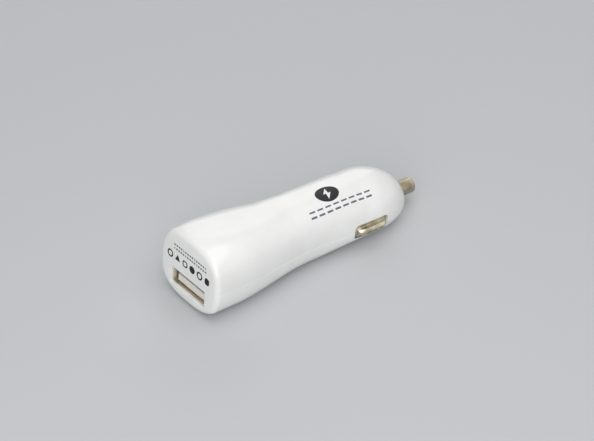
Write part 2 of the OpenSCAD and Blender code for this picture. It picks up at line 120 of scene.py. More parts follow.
def clouds(size_mm: float, detail: float) -> dict[str, float]:
    """Give a noise texture's values for clouds of a real size.

    Args:
        size_mm: The clouds' size, in millimetres.
        detail: How many finer layers lie on them.

    Returns:
        The values of its input sockets.
    """
    return {"Scale": 1 / (size_mm * MM), "Detail": detail, "Roughness": 0.6}


def spread(low: float, high: float) -> dict[str, float]:
    """Give a map range's values that turn a noise's middle part into a range.

    Args:
        low: What the noise's darker part becomes.
        high: What its lighter part becomes.

    Returns:
        The values of its input sockets.
    """
    return {"From Min": 0.3, "From Max": 0.7, "To Min": low, "To Max": high}


class Grain(Enum):
    """How a metal surface was finished."""

    TUMBLED = "tumbled"
    TURNED = "turned"
    ROLLED = "rolled"


@dataclass
class Pattern:
    """What a finish hands to its shader: a colour, a relief and the shader's own values."""

    height: bpy.types.NodeSocket
    strength: float
    depth_mm: float
    values: dict[str, Any]
    colour: bpy.types.NodeSocket | None = None
    rough: bpy.types.NodeSocket | None = None


@dataclass(frozen=True)
class Finish:
    """A named finish; each kind of finish draws its own pattern."""

    name: str

    def pattern(self, tree: bpy.types.NodeTree, place: bpy.types.NodeSocket) -> Pattern:
        """Draw the finish's pattern.

        Args:
            tree: The material's node tree.
            place: The point on the object, in metres.

        Returns:
            The pattern's sockets and values.
        """
        raise NotImplementedError

    def build(self) -> bpy.types.Material:
        """Build the material: the pattern, its relief, the shader and the output.

        Returns:
            The finished material.
        """
        material = bpy.data.materials.new(self.name)
        material.use_nodes = True
        tree = material.node_tree
        tree.nodes.clear()
        drawn = self.pattern(tree, add_node(tree, "ShaderNodeTexCoord").outputs["Object"])
        bump = add_node(
            tree,
            "ShaderNodeBump",
            values={"Strength": drawn.strength, "Distance": drawn.depth_mm * MM},
            links={"Height": drawn.height},
        )
        links = {"Base Color": drawn.colour, "Roughness": drawn.rough, "Normal": bump.outputs["Normal"]}
        shader = add_node(
            tree,
            "ShaderNodeBsdfPrincipled",
            values=drawn.values,
            links={name: socket for name, socket in links.items() if socket},
        )
        add_node(tree, "ShaderNodeOutputMaterial", links={"Surface": shader.outputs["BSDF"]})
        return material


@dataclass(frozen=True)
class MouldedPlastic(Finish):
    """Moulded plastic or fired powder: an even colour, a faint haze and a very low ripple.

    A polished mould's own texture is too fine to show, so the ripple is drawn as long as it needs to show.
    """

    colour: str
    shade: str
    roughness: float
    ior: float = 1.53
    ripple_mm: float = 2.4
    ripple_depth: float = 0.02
    ripple_height_mm: float = 0.1
    haze_mm: float = 9.0
    glow: float = 0.0
    glow_mm: float = 0.6

    def pattern(self, tree: bpy.types.NodeTree, place: bpy.types.NodeSocket) -> Pattern:
        """Draw a haze in the colour and roughness, and a ripple in the surface.

        Args:
            tree: The material's node tree.
            place: The point on the object, in metres.

        Returns:
            The pattern's sockets and values.
        """
        haze = add_node(
            tree, "ShaderNodeTexNoise", values=clouds(self.haze_mm, 3.0), links={"Vector": place}
        ).outputs["Fac"]
        ripple = add_node(
            tree, "ShaderNodeTexNoise", values=clouds(self.ripple_mm, 1.0), links={"Vector": place}
        ).outputs["Fac"]
        stops = [(0.35, self.shade), (0.6, self.colour)]
        colour = add_node(tree, "ShaderNodeValToRGB", links={"Fac": haze}, stops=stops)
        rough = add_node(
            tree,
            "ShaderNodeMapRange",
            values=spread(self.roughness * 0.85, self.roughness * 1.15),
            links={"Value": haze},
        )
        values = {
            "IOR": self.ior,
            "Subsurface Weight": self.glow,
            "Subsurface Scale": self.glow_mm * MM,
            "Subsurface Radius": (1.0, 0.9, 0.8),
        }
        outputs = colour.outputs["Color"], rough.outputs["Result"]
        return Pattern(ripple, self.ripple_depth, self.ripple_height_mm, values, *outputs)


@dataclass(frozen=True)
class PlatedMetal(Finish):
    """Plated or bare metal: fine marks along one way, and a little dullness in patches."""

    colour: str
    tarnish: str
    roughness: float
    grain: Grain = Grain.TUMBLED
    mark_mm: float = 0.25
    mark_depth: float = 0.12
    mark_height_mm: float = 0.02
    patch_mm: float = 2.6

    def pattern(self, tree: bpy.types.NodeTree, place: bpy.types.NodeSocket) -> Pattern:
        """Draw marks stretched along the grain, patches of tarnish and uneven roughness.

        Args:
            tree: The material's node tree.
            place: The point on the object, in metres.

        Returns:
            The pattern's sockets and values.
        """
        stretch = {
            Grain.TUMBLED: (1.0, 1.0, 1.0),
            Grain.TURNED: (1.0, 0.06, 0.06),
            Grain.ROLLED: (0.05, 1.0, 1.0),
        }[self.grain]
        along = add_node(tree, "ShaderNodeMapping", values={"Scale": stretch}, links={"Vector": place})
        marks = add_node(
            tree,
            "ShaderNodeTexNoise",
            values=clouds(self.mark_mm, 4.0),
            links={"Vector": along.outputs["Vector"]},
        ).outputs["Fac"]
        patches = add_node(
            tree, "ShaderNodeTexNoise", values=clouds(self.patch_mm, 3.0), links={"Vector": place}
        ).outputs["Fac"]
        stops = [(0.38, self.tarnish), (0.58, self.colour)]
        colour = add_node(tree, "ShaderNodeValToRGB", links={"Fac": patches}, stops=stops)
        rough = add_node(
            tree,
            "ShaderNodeMapRange",
            values=spread(self.roughness * 0.8, self.roughness * 1.3),
            links={"Value": marks},
        )
        outputs = colour.outputs["Color"], rough.outputs["Result"]
        return Pattern(marks, self.mark_depth, self.mark_height_mm, {"Metallic": 1.0}, *outputs)


@dataclass(frozen=True)
class BoardLaminate(Finish):
    """Glass and epoxy board under a solder mask: copper tracks show as paler lines on a woven ground."""

    name: str = "solder_masked_laminate"
    mask: str = "0F4A2A"
    track: str = "2F7A48"
    track_mm: float = 1.9
    weave_mm: float = 0.5
    weave_height_mm: float = 0.03

    def pattern(self, tree: bpy.types.NodeTree, place: bpy.types.NodeSocket) -> Pattern:
        """Draw branching tracks and a fine weave.

        Args:
            tree: The material's node tree.
            place: The point on the object, in metres.

        Returns:
            The pattern's sockets and values.
        """
        cells = add_node(
            tree,
            "ShaderNodeTexVoronoi",
            settings={"feature": "DISTANCE_TO_EDGE", "voronoi_dimensions": "3D"},
            values={"Scale": 1 / (self.track_mm * MM), "Randomness": 0.35},
            links={"Vector": place},
        )
        weave = add_node(
            tree,
            "ShaderNodeTexWave",
            settings={"wave_type": "BANDS", "bands_direction": "DIAGONAL"},
            values={"Scale": 2 * BAND / (self.weave_mm * MM), "Distortion": 0.4},
            links={"Vector": place},
        )
        stops = [(0.1, self.track), (0.16, self.mask)]
        colour = add_node(tree, "ShaderNodeValToRGB", links={"Fac": cells.outputs["Distance"]}, stops=stops)
        values = {"Roughness": 0.32, "IOR": 1.55}
        return Pattern(weave.outputs["Fac"], 0.2, self.weave_height_mm, values, colour.outputs["Color"])


@dataclass(frozen=True)
class EnamelledWire(Finish):
    """Copper magnet wire wound in layers: a ridge for each turn under a glossy amber enamel."""

    name: str = "enamelled_copper_wire"
    colour: str = "B5652B"
    # The darker colour, painted into the grooves between turns as painted shade.
    shade: str = "7E3F17"
    turn_mm: float = 0.42
    turn_height_mm: float = 0.1

    def pattern(self, tree: bpy.types.NodeTree, place: bpy.types.NodeSocket) -> Pattern:
        """Draw one ridge for each turn, with painted shade in the grooves between turns.

        Args:
            tree: The material's node tree.
            place: The point on the object, in metres.

        Returns:
            The pattern's sockets and values.
        """
        turns = add_node(
            tree,
            "ShaderNodeTexWave",
            settings={"wave_type": "BANDS", "bands_direction": "Z"},
            values={"Scale": BAND / (self.turn_mm * MM), "Distortion": 0.3},
            links={"Vector": place},
        )
        # Painted shade: the grooves between turns take the darker colour.
        stops = [(0.2, self.shade), (0.7, self.colour)]
        colour = add_node(tree, "ShaderNodeValToRGB", links={"Fac": turns.outputs["Fac"]}, stops=stops)
        values = {"Metallic": 0.6, "Roughness": 0.28}
        return Pattern(turns.outputs["Fac"], 0.7, self.turn_height_mm, values, colour.outputs["Color"])


@dataclass(frozen=True)
class PadInk(Finish):
    """Pad printed ink: a thin even film, slightly broken in specks and less glossy than the plastic."""

    colour: str
    faded: str
    speck_mm: float = 0.35
    film_mm: float = 0.02
    ior: float = 1.36

    def pattern(self, tree: bpy.types.NodeTree, place: bpy.types.NodeSocket) -> Pattern:
        """Draw small faded specks.

        Args:
            tree: The material's node tree.
            place: The point on the object, in metres.

        Returns:
            The pattern's sockets and values.
        """
        specks = add_node(
            tree, "ShaderNodeTexNoise", values=clouds(self.speck_mm, 2.0), links={"Vector": place}
        ).outputs["Fac"]
        stops = [(0.5, self.colour), (0.75, self.faded)]
        colour = add_node(tree, "ShaderNodeValToRGB", links={"Fac": specks}, stops=stops)
        values = {"Roughness": 0.5, "IOR": self.ior}
        return Pattern(specks, 0.05, self.film_mm, values, colour.outputs["Color"])


@dataclass(frozen=True)
class PaperFloor(Finish):
    """Matt paper: one pale colour and a faint relief of fibres."""

    colour: str
    fibre_mm: float = 1.2
    fibre_height_mm: float = 0.1

    def pattern(self, tree: bpy.types.NodeTree, place: bpy.types.NodeSocket) -> Pattern:
        """Draw the fibres' relief.

        Args:
            tree: The material's node tree.
            place: The point on the object, in metres.

        Returns:
            The pattern's sockets and values.
        """
        fibres = add_node(
            tree, "ShaderNodeTexNoise", values=clouds(self.fibre_mm, 4.0), links={"Vector": place}
        ).outputs["Fac"]
        values = {"Base Color": linear(self.colour), "Roughness": 0.85}
        return Pattern(fibres, 0.05, self.fibre_height_mm, values)


# Glossy ABS from a polished mould: near mirror highlights over a clean white.
SHELL_WHITE = MouldedPlastic("polished_white_abs", "F1F1EF", "EDEDEA", roughness=0.16, glow=0.05)
# PBT of the port's tongue: white too, but a little warmer and duller than the shells.
TONGUE_WHITE = MouldedPlastic("white_pbt", "EEEBE5", "E4E0D8", roughness=0.42, ior=1.55, ripple_mm=0.8)
# Moulded epoxy of the chip, diode and resistors: almost black and matt, with a fine grit.
PACKAGE_BLACK = MouldedPlastic(
    "black_epoxy", "1B1B1C", "131314", roughness=0.6, ripple_mm=0.15, ripple_depth=0.4
)
# Sintered ferrite: dark grey, dry and finely pitted.
FERRITE = MouldedPlastic(
    "sintered_ferrite", "38383B", "29292C", roughness=0.72, ripple_mm=0.2, ripple_depth=0.6
)
# Fired ceramic of the small capacitor: dull tan.
CERAMIC = MouldedPlastic("fired_ceramic", "A88358", "8F6C45", roughness=0.55, ripple_mm=0.2, ripple_depth=0.3)
# Nickel plate on pressed brass: a warm, bright grey that tarnishes to olive in patches.
CONTACT_NICKEL = PlatedMetal("nickel_plated_brass_pressed", "CEC7B2", "9C9580", roughness=0.2, mark_mm=0.6)
# Nickel plate on a turned brass pin: the lathe's fine rings run round it.
PIN_NICKEL = PlatedMetal("nickel_plated_brass_turned", "ABA28E", "8A806A", roughness=0.34, grain=Grain.TURNED)
# Tin plate on rolled steel sheet: a warm grey, drawn along the roll.
PORT_TIN = PlatedMetal("tin_plated_steel", "E0D9C8", "CBC2AD", roughness=0.4, grain=Grain.ROLLED)
# Hard drawn spring steel: darker, with the drawing marks round the wire.
SPRING_STEEL = PlatedMetal("drawn_spring_steel", "9A9A98", "7E7E7C", roughness=0.3, grain=Grain.TURNED)
# Phosphor bronze strip: reddish gold, rolled.
LEAF_BRONZE = PlatedMetal("phosphor_bronze", "B98A52", "96693A", roughness=0.32, grain=Grain.ROLLED)
# Gold flash on the port's contact strips.
STRIP_GOLD = PlatedMetal("gold_flash", "D9B25A", "C09A46", roughness=0.22, grain=Grain.ROLLED)
# Deep drawn aluminium can: soft, cold grey.
CAN_ALUMINIUM = PlatedMetal("drawn_aluminium", "C9CBCE", "AEB1B5", roughness=0.36, mark_mm=0.4)
# Dark pad ink of the oval and of the plain signs: a thin film, a little uneven.
DARK_INK = PadInk("dark_pad_ink", "0E0D14", "1C1B24")
# Violet-grey ink of the double row of bars.
VIOLET_INK = PadInk("violet_grey_pad_ink", "645D73", "8A8495")
# Grey ink of the fine bars on the USB face.
GREY_INK = PadInk("grey_pad_ink", "4A4A50", "85858A")
# White ink of the bolt on the oval.
WHITE_INK = PadInk("white_pad_ink", "EDEDEB", "D9D9D6")
# Pale grey paper under the plug: dull, so that it takes a soft shadow.
FLOOR_PAPER = PaperFloor("matt_paper", "C4C6C8")


# Meshes.


def make_object(name: str, points: Sequence[Sequence[float]], faces: Faces) -> bpy.types.Object:
    """Make a mesh object from points in millimetres.

    Args:
        name: The piece's name.
        points: Vertices in the row frame, in millimetres.
        faces: Vertex numbers of each face, wound outwards.

    Returns:
        The new object, linked to the scene.
    """
    mesh = bpy.data.meshes.new(name)
    mesh.from_pydata([tuple(float(c) * MM for c in p) for p in points], [], faces)
    mesh.validate()
    piece = bpy.data.objects.new(name, mesh)
    bpy.context.scene.collection.objects.link(piece)
    return piece


def face_outwards(piece: bpy.types.Object) -> None:
    """Turn a mesh's faces one way, which is outwards if it is closed.

    Args:
        piece: The object whose faces are turned.
    """
    work = bmesh.new()
    work.from_mesh(piece.data)
    bmesh.ops.recalc_face_normals(work, faces=work.faces)
    work.to_mesh(piece.data)
    work.free()


def smooth_by_angle(piece: bpy.types.Object, degrees: float) -> None:
    """Shade a piece smooth, and keep the edges that are sharper than an angle."""
    piece.data.shade_smooth()
    piece.data.set_sharp_from_angle(angle=math.radians(degrees))


def apply_modifiers(piece: bpy.types.Object) -> None:
    """Replace a piece's mesh by the one its modifiers give.

    Args:
        piece: The object that is changed.
    """
    graph = bpy.context.evaluated_depsgraph_get()
    made = bpy.data.meshes.new_from_object(piece.evaluated_get(graph))
    piece.modifiers.clear()
    piece.data = made


def boolean(piece: bpy.types.Object, cutter: bpy.types.Object, how: str = "DIFFERENCE") -> None:
    """Cut a cutter out of a piece, or join it on, and remove the cutter.

    Args:
        piece: The object that is changed.
        cutter: The object that is used up.
        how: "DIFFERENCE" or "UNION".
    """
    step = piece.modifiers.new("cut", "BOOLEAN")
    step.object = cutter
    step.operation = how
    step.solver = "EXACT"
    apply_modifiers(piece)
    bpy.data.objects.remove(cutter)


def thicken(piece: bpy.types.Object, sheet: float) -> None:
    """Give a surface the thickness of sheet metal, inwards.

    Args:
        piece: The surface that becomes a sheet.
        sheet: The sheet's thickness, in millimetres.
    """
    step = piece.modifiers.new("sheet", "SOLIDIFY")
    step.thickness = sheet * MM
    step.offset = -1
    apply_modifiers(piece)


def soften(piece: bpy.types.Object, radius: float, segments: int) -> None:
    """Round the edges of a piece with a bevel that leaves its mesh as it is.

    Args:
        piece: The object, which may be a CAD node.
        radius: The bevel's width, in millimetres.
        segments: Steps across the bevel.
    """
    bevel = piece.modifiers.new("soft_edges", "BEVEL")
    bevel.width = radius * MM
    bevel.segments = segments
    bevel.limit_method = "ANGLE"
    bevel.angle_limit = math.radians(40)
    bevel.harden_normals = True


def dress(piece: bpy.types.Object, finish: bpy.types.Material) -> None:
    """Give a piece its material.

    Args:
        piece: The object that is dressed.
        finish: Its material.
    """
    piece.data.materials.clear()
    piece.data.materials.append(finish)


def grid_faces(rows: int, columns: int, closed: bool = False) -> Faces:
    """List the quads of a grid of points.

    Args:
        rows: Number of rows of points.
        columns: Number of points in each row.
        closed: True if each row closes on itself.

    Returns:
        One face for each cell.
    """
    faces = []
    for i in range(rows - 1):
        here, beyond = i * columns, (i + 1) * columns
        for j in range(columns if closed else columns - 1):
            k = (j + 1) % columns
            faces.append((here + j, beyond + j, beyond + k, here + k))
    return faces


def circle(sides: int, turn: float = 0.0) -> Outline:
    """Draw a regular outline of radius 1 about the origin.

    Args:
        sides: Its number of corners.
        turn: How far it is turned, in radians.

    Returns:
        The corners.
    """
    angles = [math.tau * k / sides + turn for k in range(sides)]
    return [(math.cos(a), math.sin(a)) for a in angles]


def rectangle(x0: float, x1: float, y0: float, y1: float) -> Outline:
    """Draw a rectangle from its sides."""
    return [(x0, y0), (x1, y0), (x1, y1), (x0, y1)]


def rounded_outline(width: float, height: float, radius: float, steps: int = 6) -> Outline:
    """Draw a rectangle with round corners about the origin, anticlockwise.

    Args:
        width: Its full width.
        height: Its full height.
        radius: The corners' radius.
        steps: Pieces in each corner's arc.

    Returns:
        Points along the outline.
    """
    out = []
    for corner, (sx, sy) in enumerate(((1, 1), (-1, 1), (-1, -1), (1, -1))):
        for k in range(steps + 1):
            angle = math.radians(90 * (corner + k / steps))
            x = sx * (width / 2 - radius) + radius * math.cos(angle)
            out.append((x, sy * (height / 2 - radius) + radius * math.sin(angle)))
    return out


def divide(corners: Outline, step: float) -> Outline:
    """Add points along an outline's sides.

    Args:
        corners: The outline's corners.
        step: The longest side that stays whole.

    Returns:
        The finer outline.
    """
    out = []
    for (x0, y0), (x1, y1) in zip(corners, [*corners[1:], corners[0]]):
        cuts = math.ceil(math.hypot(x1 - x0, y1 - y0) / step)
        out += [(x0 + (x1 - x0) * k / cuts, y0 + (y1 - y0) * k / cuts) for k in range(cuts)]
    return out


def loft(name: str, rings: Sequence[Sequence[Point]]) -> bpy.types.Object:
    """Join rings of points into one closed solid.

    Args:
        name: The piece's name.
        rings: Rings with the same number of points, in millimetres.

    Returns:
        The closed object.
    """
    count = len(rings[0])
    faces = grid_faces(len(rings), count, closed=True)
    faces.append(tuple(range(count)))
    faces.append(tuple(reversed(range((len(rings) - 1) * count, len(rings) * count))))
    piece = make_object(name, [p for ring in rings for p in ring], faces)
    face_outwards(piece)
    return piece


def slab(name: str, outline: Outline, axis: int, ends: Sequence[float]) -> bpy.types.Object:
    """Draw an outline out into a closed solid.

    Args:
        name: The piece's name.
        outline: The outline, in the two other directions.
        axis: The direction it is drawn along: 0, 1 or 2 for X, Y or Z.
        ends: Where it starts and ends along that direction.

    Returns:
        The closed object.
    """
    return loft(name, [[(*pair[:axis], end, *pair[axis:]) for pair in outline] for end in ends])


def lathe(name: str, profile: Outline, height: float, sides: int = 96) -> bpy.types.Object:
    """Turn a profile about a line along X.

    Args:
        name: The piece's name.
        profile: Pairs of a place along X and a radius, from one end to the other.
        height: The line's height over the base.
        sides: Points in each ring.

    Returns:
        The closed object.
    """
    return loft(name, [[(x, r * c, height + r * s) for c, s in circle(sides)] for x, r in profile])


def gather(items: bpy.types.bpy_prop_collection, name: str, width: int = 1) -> np.ndarray:
    """Read one property of many items at once.

    Args:
        items: The items, such as a mesh's vertices.
        name: The property's name.
        width: How many numbers each item holds.

    Returns:
        Whole numbers if each item holds one, else a row of numbers for each item.
    """
    values = np.zeros(len(items) * width, np.int32 if width == 1 else float)
    items.foreach_get(name, values)
    return values if width == 1 else values.reshape(-1, width)


# The housing's form.


def ease(t: np.ndarray | float) -> np.ndarray | float:
    """Give the smooth step of a share from 0 to 1."""
    t = np.clip(t, 0, 1)
    return t * t * (3 - 2 * t)


@dataclass
class Form:
    """The outer form of the housing, in millimetres, with lengths counted from the USB face."""

    head_w: float = 22.45
    head_h: float = 19.65
    head_l: float = 7.5
    face_drop: float = 1.1
    head_power: float = 2.77
    fade_power: float = 0.73
    face_edge: float = 1.4
    seam_z: float = 8.85
    waist_w: float = 17.3
    waist_x: float = 32.9
    waist_rise: float = 1.6
    rest_x: float = 23.95
    rest_z: float = 18.85
    rest_power: float = 1.95
    rise_power: float = 2.05
    barrel_w: float = 18.9
    barrel_top: float = 19.2
    barrel_low: float = 2.95
    barrel_x: float = 49.6
    dome_x: float = 53.15
    dome_l: float = 14.65
    dome_powers: tuple[float, float, float] = (2.18, 1.82, 2.38)
    tip_share: float = 0.94
    tip_margin: float = 0.3
    wall: float = 1.6
    face_wall: float = 1.3
    nose_wall: float = 5.45
    pin_out: float = 5.8
    arc_samples: int = 721

    @property
    def tip_x(self) -> float:
        """Place of the nose's flat end."""
        return self.dome_x + self.dome_l * self.tip_share

    @property
    def boss_x(self) -> float:
        """Place of the nose wall's inner face."""
        return self.tip_x - self.nose_wall

    @property
    def overall_l(self) -> float:
        """Length from the USB face to the pin's end."""
        return self.tip_x + self.pin_out

    def row_x(self, u: float) -> float:
        """Turn a length from the USB face into the row frame's X."""
        return u - self.overall_l / 2

    def sizes(self, u: np.ndarray, skin: float = 0.0) -> tuple[np.ndarray, ...]:
        """Give the section at each length.

        Args:
            u: Lengths from the USB face.
            skin: How far inside the outer surface.

        Returns:
            Half width, height over the seam, height under it, and the section's power.
        """
        u = np.asarray(u, float)
        to_waist = ease((u - self.head_l) / (self.waist_x - self.head_l))
        to_barrel = ease((u - self.waist_x) / (self.barrel_x - self.waist_x))
        early = u < self.waist_x
        half = np.where(
            early,
            self.head_w / 2 + (self.waist_w - self.head_w) / 2 * to_waist,
            self.waist_w / 2 + (self.barrel_w - self.waist_w) / 2 * to_barrel,
        )
        rise = self.waist_rise + (self.barrel_low - self.waist_rise) * to_barrel
        low = np.where(early, self.waist_rise * to_waist, rise)
        face = np.clip(1 - u / self.head_l, 0, None) ** 2
        fall = np.clip((u - self.head_l) / (self.rest_x - self.head_l), 0, 1) ** self.rest_power
        left = 1 - np.clip((u - self.rest_x) / (self.barrel_x - self.rest_x), 0, 1)
        top = np.where(
            u < self.rest_x,
            self.head_h - self.face_drop * face + (self.rest_z - self.head_h) * fall,
            self.rest_z + (self.barrel_top - self.rest_z) * (1 - left**self.rise_power),
        )
        t = np.clip((u - self.dome_x) / (self.dome_l - skin), 0, 1)
        a, b, c = ((1 - t**p) ** (1 / p) for p in self.dome_powers)
        power = 2 + (self.head_power - 2) * np.clip(1 - u / self.barrel_x, 0, None) ** self.fade_power
        edge = np.clip(self.face_edge - u, 0, self.face_edge)
        cut = (self.face_edge - np.sqrt(self.face_edge**2 - edge**2)) * (skin == 0)
        return (
            (half - skin) * a - cut,
            (top - self.seam_z - skin) * b - cut,
            (self.seam_z - low - skin) * c - cut,
            power,
        )

    def field(self, points: np.ndarray) -> np.ndarray:
        """Give a value that is 0 on the outer surface and grows outwards.

        Args:
            points: Rows of length from the USB face, Y and Z.

        Returns:
            One value for each point.
        """
        a, up, down, power = self.sizes(np.clip(points[:, 0], 0, self.tip_x + self.tip_margin))
        over = points[:, 2] - self.seam_z
        high = np.where(over >= 0, up, down)
        return (np.abs(points[:, 1]) / a) ** power + (np.abs(over) / high) ** power - 1

    def normals(self, points: np.ndarray) -> np.ndarray:
        """Give the outer surface's unit normals.

        Args:
            points: Rows of length from the USB face, Y and Z, of points on the surface.

        Returns:
            One normal for each point.
        """
        steps = 0.02 * np.eye(3)
        out = np.stack([self.field(points + step) - self.field(points - step) for step in steps], -1)
        return out / np.linalg.norm(out, axis=1, keepdims=True)

    def arc(self, u: float, skin: float, upper: bool, count: int, groove: float = 0.0) -> list[Point]:
        """Draw half a section from +Y over to -Y, with its points evenly spaced.

        Args:
            u: Length from the USB face.
            skin: How far inside the outer surface.
            upper: True for the half over the seam.
            count: Number of steps along the arc.
            groove: How far the arc is chamfered at the seam.

        Returns:
            Points of the arc in the row frame.
        """
        a, up, down, power = (float(v) for v in self.sizes(np.array(u), skin))
        high, sign = (up, 1) if upper else (down, -1)
        t = np.linspace(0, math.pi, self.arc_samples)
        c, s = np.cos(t), np.sin(t)
        y = a * np.sign(c) * np.abs(c) ** (2 / power)
        z = high * np.abs(s) ** (2 / power)
        if groove:
            keep = z >= groove
            y = np.concatenate([[a], y[keep], [-a]])
            z = np.concatenate([[groove], z[keep], [groove]])
        travel = np.concatenate([[0], np.cumsum(np.hypot(np.diff(y), np.diff(z)))])
        even = np.linspace(0, travel[-1], count + 1)
        ys, zs = np.interp(even, travel, y), np.interp(even, travel, z)
        if groove:
            ys = np.concatenate([[a - groove], ys, [groove - a]])
            zs = np.concatenate([[0], zs, [0]])
        x = self.row_x(u)
        return [(x, float(p), self.seam_z + sign * float(q)) for p, q in zip(ys, zs)]

    def on_top(self, u: float, y: float, lift: float) -> Point:
        """Find a point over the upper surface.

        Args:
            u: Its length from the USB face, in plan.
            y: Its place across the plug, in plan.
            lift: How far it is lifted along the surface's normal.

        Returns:
            The point in the row frame.
        """
        a, up, _, power = (float(v) for v in self.sizes(np.array(u)))
        z = self.seam_z + up * max(0.0, 1 - (abs(y) / a) ** power) ** (1 / power)
        spot = np.array([[u, y, z]])
        u, y, z = (float(v) for v in spot[0] + self.normals(spot)[0] * lift)
        return (self.row_x(u), y, z)

    def on_face(self, y: float, z: float, lift: float) -> Point:
        """Find a point before the USB face."""
        return (self.row_x(-lift), y, z)


# Sub-assemblies.


@dataclass
class Housing:
    """The two glossy shells that meet at the seam."""

    form: Form
    finish: bpy.types.Material
    arc_steps: int = 76
    inner_arc_steps: int = 36
    inner_steps: tuple[int, int] = (44, 9)
    edge_steps: int = 11
    fore_steps: int = 38
    aft_steps: int = 48
    nose_steps: int = 26
    seam_groove: float = 0.07
    slot: tuple[float, float, float] = (13.2, 4.65, 5.18)
    slot_bevel: float = 0.12
    slot_round: float = 0.35
    port: tuple[float, float, float] = (12.5, 5.12, 14.0)
    port_in: float = 0.9
    port_t: float = 0.3
    play: float = 0.1
    bay_round: float = 0.2
    bay_spare: float = 0.3
    pocket: tuple[float, float, float] = (45.4, 11.05, 4.1)
    pocket_round: float = 1.3
    # Each pair is a depth, counted from the barrel's side, and how far the pocket is wider there.
    pocket_steps: tuple[tuple[float, float], ...] = ((-4.45, 0.0), (-0.55, 0.0), (-0.15, 0.06), (0.6, 0.7))
    guide_d: float = 4.7
    hole_bevel: float = 0.15
    past: float = 1.0
    skin_match: float = 0.02
    facing_match: float = 0.93

    def stations(self, inner: bool) -> list[float]:
        """List the lengths at which sections are drawn.

        Args:
            inner: True for the hollow, False for the outer form.

        Returns:
            Lengths from the USB face.
        """
        f = self.form
        if inner:
            body, nose = self.inner_steps
            return [*np.linspace(f.face_wall, f.dome_x, body), *np.linspace(f.dome_x, f.boss_x, nose)[1:]]
        edge = [f.face_edge * (1 - math.cos(a)) for a in np.linspace(0, math.pi / 2, self.edge_steps)]
        fore = np.linspace(f.face_edge, f.rest_x, self.fore_steps)[1:]
        aft = np.linspace(f.rest_x, f.dome_x, self.aft_steps)[1:]
        last = math.asin(f.tip_share)
        count = self.nose_steps
        nose = [f.dome_x + f.dome_l * math.sin(last * k / count) for k in range(1, count + 1)]
        return [*edge, *fore, *aft, *nose]

    def half_solid(self, name: str, upper: bool, inner: bool) -> bpy.types.Object:
        """Build one closed half.

        Args:
            name: The object's name.
            upper: True for the half over the seam.
            inner: True for the hollow, which reaches past the seam, False for the outer form.

        Returns:
            The closed object.
        """
        f = self.form
        past = f.seam_z + (-self.past if upper else self.past)
        rings = []
        for u in self.stations(inner):
            if inner:
                ring = f.arc(u, f.wall, upper, self.inner_arc_steps)
                x = ring[0][0]
                ring = [(x, ring[0][1], past), *ring, (x, ring[-1][1], past)]
            else:
                ring = f.arc(u, 0.0, upper, self.arc_steps, self.seam_groove)
            rings.append(ring)
        return loft(name, rings)

    def cutters(self) -> list[bpy.types.Object]:
        """Build the openings: the slot, the port's bay, the two pockets and the pin's hole.

        Returns:
            The solids that are cut out of each shell.
        """
        f = self.form
        width, height, mid = self.slot
        bevel, past = self.slot_bevel, self.past
        rings = []
        for u, grow in ((-past, past + bevel), (bevel, 0.0), (f.face_wall + past, 0.0)):
            outline = rounded_outline(width + 2 * grow, height + 2 * grow, self.slot_round + grow)
            rings.append([(f.row_x(u), y, mid + z) for y, z in outline])
        made = [loft("slot_cutter", rings)]
        inner_w, inner_h, depth = self.port
        grow = 2 * (self.port_t + self.play)
        outline = rounded_outline(inner_w + grow, inner_h + grow, self.bay_round)
        ends = (f.row_x(self.port_in - self.play), f.row_x(self.port_in + depth + self.bay_spare))
        made.append(slab("bay_cutter", [(y, mid + z) for y, z in outline], 0, ends))
        start, length, high = self.pocket
        centre = f.row_x(start + length / 2)
        for side in (-1, 1):
            rings = []
            for out, grow in self.pocket_steps:
                outline = rounded_outline(length + 2 * grow, high + 2 * grow, self.pocket_round + grow)
                rings.append([(centre + x, side * (f.barrel_w / 2 + out), f.seam_z + z) for x, z in outline])
            made.append(loft("pocket_cutter", rings))
        hole, mouth = self.guide_d / 2, f.tip_x - self.hole_bevel
        profile = [(f.boss_x - past, hole), (mouth, hole), (mouth + past, hole + past)]
        made.append(lathe("hole_cutter", [(f.row_x(u), r) for u, r in profile], f.seam_z))
        return made

    def set_normals(self, piece: bpy.types.Object) -> None:
        """Give the outer skin the exact normals of the form, so that highlights run clean across it.

        Args:
            piece: A finished shell.
        """
        mesh = piece.data
        mesh.shade_smooth()
        mesh.set_sharp_from_angle(angle=math.radians(30))
        corners = gather(mesh.loops, "vertex_index")
        face_of = np.repeat(np.arange(len(mesh.polygons)), gather(mesh.polygons, "loop_total"))
        places = gather(mesh.vertices, "co", 3) / MM + (self.form.overall_l / 2, 0, 0)
        exact = self.form.normals(places)[corners]
        on_skin = (np.abs(self.form.field(places)) < self.skin_match)[corners]
        facing = gather(mesh.polygons, "normal", 3)[face_of]
        agree = np.einsum("ij,ij->i", exact, facing) > self.facing_match
        whole = np.ones(len(mesh.polygons), bool)
        np.logical_and.at(whole, face_of, agree & on_skin)
        given = np.where(whole[face_of, None], exact, 0.0)
        mesh.normals_split_custom_set([tuple(n) for n in given])

    def build(self) -> list[bpy.types.Object]:
        """Build both shells in place of their CAD nodes.

        Returns:
            The upper and the lower shell.
        """
        made = []
        for upper, name in ((True, "upper_shell"), (False, "lower_shell")):
            piece = self.half_solid(f"{name}_skin", upper, inner=False)
            boolean(piece, self.half_solid("hollow", upper, inner=True))
            for cutter in self.cutters():
                boolean(piece, cutter)
            dress(piece, self.finish)
            self.set_normals(piece)
            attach(piece, "housing")
            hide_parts(name)
            made.append(piece)
        return made


